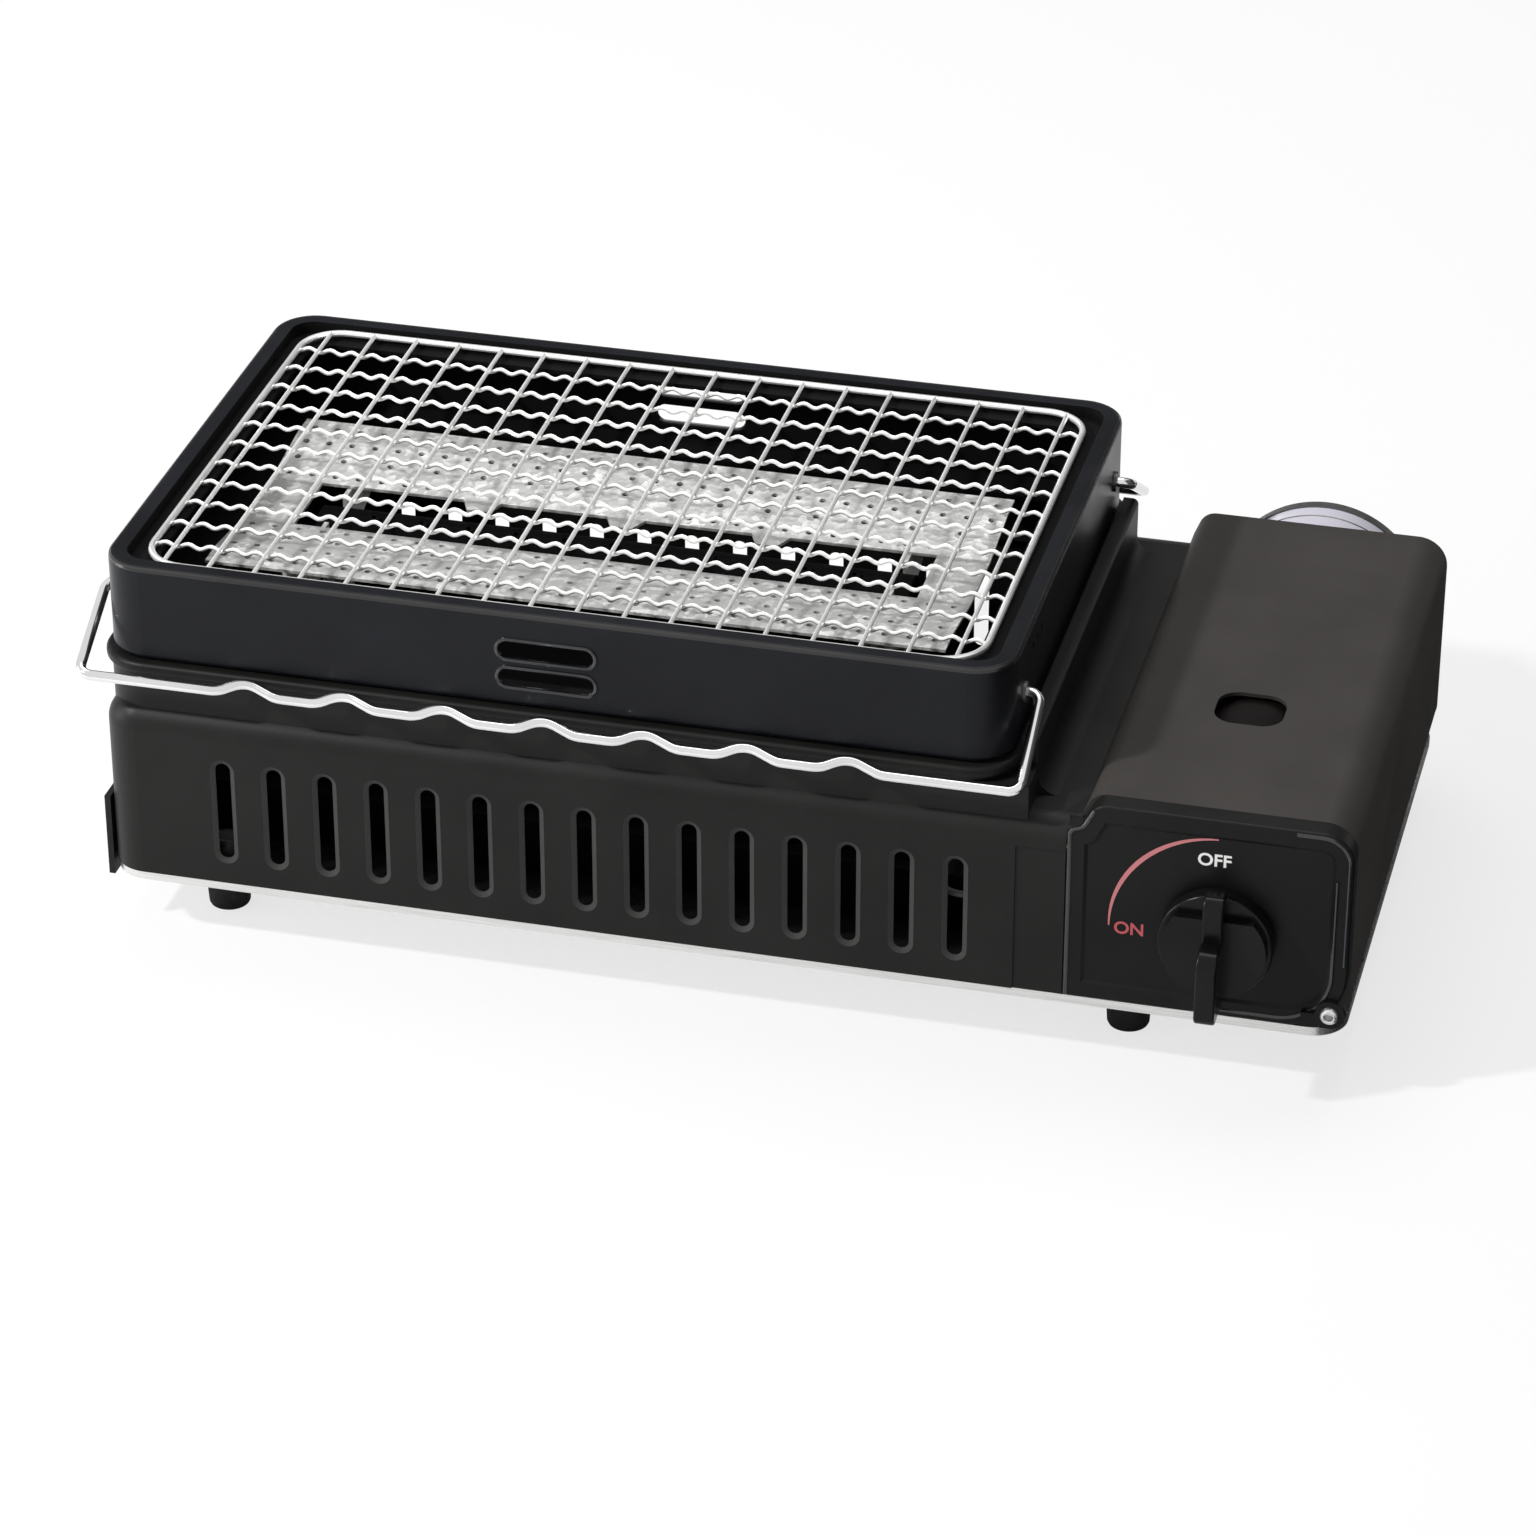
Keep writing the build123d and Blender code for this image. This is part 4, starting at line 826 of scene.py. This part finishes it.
# %% The bead inside the right border
panel_low, panel_high = (Vector(corner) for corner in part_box("control_panel"))
bead_radius = 0.75 * mm
bead_proud = 0.45 * mm
bead_y = panel_low.y + bead_radius - bead_proud
bead_inset = 5.0 * mm
bead_corner = 17 * mm
bead_steps = 12
bead_top = panel_high.z - 16 * mm
bead_foot = panel_low.z + 2.4 * mm
bead_end = 22 * mm
right_x = panel_high.x - bead_inset
corner_middle = Vector((right_x - bead_corner, bead_foot + bead_corner, 0))
border_arc = corner_arc(corner_middle, bead_corner, -quarter_turn, bead_steps)[::-1]
right_bead = [Vector((right_x, bead_y, bead_top))]
right_bead += stood_up(border_arc, bead_y)
right_bead.append(Vector((corner_middle.x - bead_end, bead_y, bead_foot)))
print("points in the border's bead:", len(right_bead))

# %% The bead round the top right corner
edge_inset = 1.3 * mm
edge_corner = 10 * mm - edge_inset
edge_steps = 10
edge_run = 8 * mm
edge_fall = 46 * mm
edge_middle = Vector((panel_high.x - edge_inset - edge_corner,
                      panel_high.z - edge_inset - edge_corner, 0))
edge_arc = corner_arc(edge_middle, edge_corner, 0, edge_steps)[::-1]
edge_bead = [Vector((edge_middle.x - edge_run, bead_y, edge_middle.y + edge_corner))]
edge_bead += stood_up(edge_arc, bead_y)
edge_bead.append(Vector((edge_middle.x + edge_corner, bead_y, panel_high.z - edge_fall)))
print("points in the corner's bead:", len(edge_bead))

# %% The bead on the left edge, and all three as one piece
left_bead_mm = ((0.9, -69), (0.9, -10.8), (1.6, -9.4), (4.4, -8.4), (5.6, -7), (8.4, -1.8))
left_bead = [Vector((panel_low.x + x * mm, bead_y, panel_high.z + z * mm))
             for x, z in left_bead_mm]
add_wire("panel_beads", [right_bead, edge_bead, left_bead], bead_radius, thick_wire_rings,
         "body", lip_paint, closed=False)

# %% [markdown]
# ## The knob's rim
#
# The edge of the knob's disc is polished by fingers and shows as a thin light arc on the side of the
# lamp. It is a closed round wire that turns with the knob.

# %% Knob rim
knob_low, knob_high = (Vector(corner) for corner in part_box("knob"))
knob_radius = 18 * mm
knob_disc_depth = 6 * mm
knob_rim_radius = 0.8 * mm
knob_steps = 12
knob_front = panel_low.y - knob_disc_depth
knob_middle = Vector(((knob_low.x + knob_high.x) / 2, (knob_low.z + knob_high.z) / 2, 0))
knob_half = knob_radius - knob_rim_radius
knob_loop = round_ended_loop(knob_middle, knob_half, knob_half, knob_steps)
add_wire("knob_rim", [stood_up(knob_loop, knob_front + knob_rim_radius)],
         knob_rim_radius, thick_wire_rings, "control_knob", lip_paint)

# %% [markdown]
# ## The printed dial
#
# The panel carries a red quarter arc that is thickest in the middle, from OFF above the knob to ON
# at its left. The arc is a short edge spun through a quarter turn, then thinned towards its ends and
# given the thickness of ink. The words are Blender's own text, turned into a mesh and laid on the
# panel. An image would be easier to draw, but a mesh stays sharp however close the camera comes.

# %% Ink finishes
ink_skin = {"rough": (0.4, 0.5), "effect": orange_peel, "scale": 1500, "bump": 0.05}
red_ink = make_finish("red_ink", (0.42, 0.06, 0.07), (0.5, 0.08, 0.09), **ink_skin)
pink_ink = make_finish("pink_ink", (0.46, 0.14, 0.15), (0.54, 0.18, 0.19), **ink_skin)
white_ink = make_finish("white_ink", (0.75, 0.75, 0.74), (0.82, 0.82, 0.81), **ink_skin)
print("inks made")

# %% The arc
panel_recess = 0.7 * mm
ink_lift = 0.06 * mm
ink_y = panel_low.y + panel_recess - ink_lift
dial_centre = Vector((knob_middle.x, ink_y, knob_middle.y))
arc_radius = 34.2 * mm
arc_width = 1.5 * mm
arc_end_share = 0.3
arc_steps = 40
arc_start = math.radians(2)
arc_sweep = math.radians(90)

arc = bmesh.new()
arc_turn = Matrix.Rotation(-arc_start, 3, "Y")
arc_ends = [arc.verts.new(dial_centre + arc_turn @ Vector((0, 0, arc_radius + side * arc_width / 2)))
            for side in (-1, 1)]
arc_edge = arc.edges.new(arc_ends)
bmesh.ops.spin(arc, geom=arc_ends + [arc_edge], cent=dial_centre, axis=(0, -1, 0),
               angle=arc_sweep, steps=arc_steps)
for vert in arc.verts:
    out = vert.co - dial_centre
    along = (math.atan2(-out.x, out.z) - arc_start) / arc_sweep
    swell = math.sin(math.pi * min(max(along, 0), 1))
    share = arc_end_share + (1 - arc_end_share) * swell
    vert.co = dial_centre + out.normalized() * (arc_radius + (out.length - arc_radius) * share)
bmesh.ops.solidify(arc, geom=arc.faces, thickness=ink_lift)
bmesh.ops.recalc_face_normals(arc, faces=arc.faces)
add_piece("dial_arc", arc, "body", pink_ink)

# %% The two words
word_size = 6 * mm
stroke_share = 0.02
off_place = Vector((-2.2, 0, 26.6)) * mm
on_place = Vector((-27.8, 0, -1.8)) * mm


def add_word(name, word, place, material):
    text = bpy.data.curves.new(name, "FONT")
    text.body = word
    text.size = word_size
    text.align_x = "CENTER"
    text.align_y = "CENTER"
    text.offset = stroke_share * word_size
    text.extrude = ink_lift / 2
    maker = bpy.data.objects.new(name, text)
    mesh = bpy.data.meshes.new_from_object(maker)
    bpy.data.objects.remove(maker)
    bpy.data.curves.remove(text)
    upright = Matrix.Rotation(quarter_turn, 4, "X")
    mesh.transform(Matrix.Translation(dial_centre + place) @ upright)
    add_mesh(name, mesh, "body", material)


add_word("off_word", "OFF", off_place, white_ink)
add_word("on_word", "ON", on_place, red_ink)

# %% [markdown]
# ## The floor
#
# A catalogue picture stands on a white sweep. The floor is white paper that gives the camera some
# light of its own, so that it is nearly white and still keeps the shadow. From below it is clear, so
# that the underside can be looked at too.

# %% White paper that is clear from below
paper_white = 0.9
paper_roughness = 0.9
own_light_share = 0.72
white = (1, 1, 1, 1)

floor_paper = bpy.data.materials.new("studio_paper")
floor_paper.use_nodes = True
paper_nodes = floor_paper.node_tree.nodes
paper_link = floor_paper.node_tree.links.new
paper = paper_nodes["Principled BSDF"]
paper.inputs["Base Color"].default_value = (*grey(paper_white), 1)
paper.inputs["Roughness"].default_value = paper_roughness
paper_glow = paper_nodes.new("ShaderNodeEmission")
paper_glow.inputs["Color"].default_value = white
paper_path = paper_nodes.new("ShaderNodeLightPath")
paper_share = paper_nodes.new("ShaderNodeMath")
paper_share.operation = "MULTIPLY"
paper_share.inputs[1].default_value = own_light_share
paper_mix = paper_nodes.new("ShaderNodeMixShader")
paper_link(paper_path.outputs["Is Camera Ray"], paper_share.inputs[0])
paper_link(paper_share.outputs[0], paper_mix.inputs["Fac"])
paper_link(paper.outputs["BSDF"], paper_mix.inputs[1])
paper_link(paper_glow.outputs["Emission"], paper_mix.inputs[2])
paper_side = paper_nodes.new("ShaderNodeNewGeometry")
paper_clear = paper_nodes.new("ShaderNodeBsdfTransparent")
paper_top = paper_nodes.new("ShaderNodeMixShader")
paper_link(paper_side.outputs["Backfacing"], paper_top.inputs["Fac"])
paper_link(paper_mix.outputs["Shader"], paper_top.inputs[1])
paper_link(paper_clear.outputs["BSDF"], paper_top.inputs[2])
paper_link(paper_top.outputs["Shader"], paper_nodes["Material Output"].inputs["Surface"])
print("made", floor_paper.name)

# %% Lay the floor
floor_half = 6.0
floor_shape = bmesh.new()
bmesh.ops.create_grid(floor_shape, x_segments=1, y_segments=1, size=floor_half)
floor_mesh = mesh_from("studio_floor", floor_shape)
floor_mesh.materials.append(floor_paper)
floor = bpy.data.objects.new("studio_floor", floor_mesh)
scene.collection.objects.link(floor)
print("floor:", 2 * floor_half, "m wide")

# %% [markdown]
# ## The lamps
#
# A small key lamp high on the left draws the crisp edges. A wider one low on the left lights the
# sides that face it, and a broad one behind and above fills the upper faces.

# %% Set up the lamps
grill_middle = Vector((0, 0, 0.08))


def add_lamp(name, place, size, power):
    data = bpy.data.lights.new(name, "AREA")
    data.shape = "SQUARE"
    data.size = size
    data.energy = power
    lamp = bpy.data.objects.new(name, data)
    lamp.location = place
    lamp.rotation_euler = (grill_middle - Vector(place)).to_track_quat("-Z", "Y").to_euler()
    scene.collection.objects.link(lamp)
    print("lamp", name, "at", place)


add_lamp("key_lamp", place=(-1.2, -0.9, 1.4), size=0.1, power=32)
add_lamp("side_lamp", place=(-1.6, -0.5, 0.35), size=0.6, power=9.5)
add_lamp("top_lamp", place=(-0.1, 0.6, 1.8), size=1.2, power=14)

# %% [markdown]
# ## Black cards
#
# Black paint shows whatever it mirrors. In a studio, black cards stand outside the picture where the
# paint would mirror white, and so the paint stays black. Here one stands on the right, one lies on
# the table beside it and one stands behind. The camera doesn't see them. The upright one on the
# right also takes light away from that side, as a photographer's black card does.

# %% Set up the cards
card_paper = bpy.data.materials.new("dark_paper")
card_paper.use_nodes = True
card_shader = card_paper.node_tree.nodes["Principled BSDF"]
card_shader.inputs["Base Color"].default_value = (*grey(0.01), 1)


def add_card(name, middle, size, lean, takes_light=False):
    shape = bmesh.new()
    bmesh.ops.create_grid(shape, x_segments=1, y_segments=1, size=0.5)
    bmesh.ops.scale(shape, verts=shape.verts, vec=(*size, 1))
    bmesh.ops.rotate(shape, verts=shape.verts, cent=(0, 0, 0), matrix=lean)
    bmesh.ops.translate(shape, verts=shape.verts, vec=middle)
    mesh = mesh_from(name, shape)
    mesh.materials.append(card_paper)
    card = bpy.data.objects.new(name, mesh)
    card.visible_camera = False
    card.visible_diffuse = takes_light
    card.visible_shadow = False
    scene.collection.objects.link(card)
    print("card", name, "at", middle)


upright_right = Matrix.Rotation(quarter_turn, 3, "Y")
upright_back = Matrix.Rotation(quarter_turn, 3, "X")
lying = Matrix.Identity(3)
add_card("right_card", middle=(0.8, 0.2, 0.6), size=(1.2, 1.2), lean=upright_right,
         takes_light=True)
add_card("table_card", middle=(0.46, 0.15, 0.002), size=(0.5, 0.8), lean=lying)
add_card("back_card", middle=(0, 1.6, 0.95), size=(3.2, 1.1), lean=upright_back)

# %% [markdown]
# ## The white surroundings
#
# The world is white where the camera or a glossy surface looks at it, and dimmer as a source of
# light, so that the background is white and the shadows keep their depth. The Standard view shows
# white as white.

# %% Light the world
sky_as_light = 0.34
sky_as_seen = 1.0

world = bpy.data.worlds.new("white_studio")
scene.world = world
world.use_nodes = True
world_nodes = world.node_tree.nodes
world_link = world.node_tree.links.new
sky = world_nodes["Background"]
sky.inputs["Color"].default_value = white
world_path = world_nodes.new("ShaderNodeLightPath")
seen = world_path.outputs["Is Camera Ray"]
for ray in ("Is Glossy Ray", "Is Transmission Ray"):
    either = world_nodes.new("ShaderNodeMath")
    either.operation = "MAXIMUM"
    world_link(seen, either.inputs[0])
    world_link(world_path.outputs[ray], either.inputs[1])
    seen = either.outputs[0]
strength = world_nodes.new("ShaderNodeMapRange")
strength.inputs["To Min"].default_value = sky_as_light
strength.inputs["To Max"].default_value = sky_as_seen
world_link(seen, strength.inputs["Value"])
world_link(strength.outputs["Result"], sky.inputs["Strength"])
scene.view_settings.view_transform = "Standard"
print("world:", sky_as_seen, "as seen and", sky_as_light, "as light")
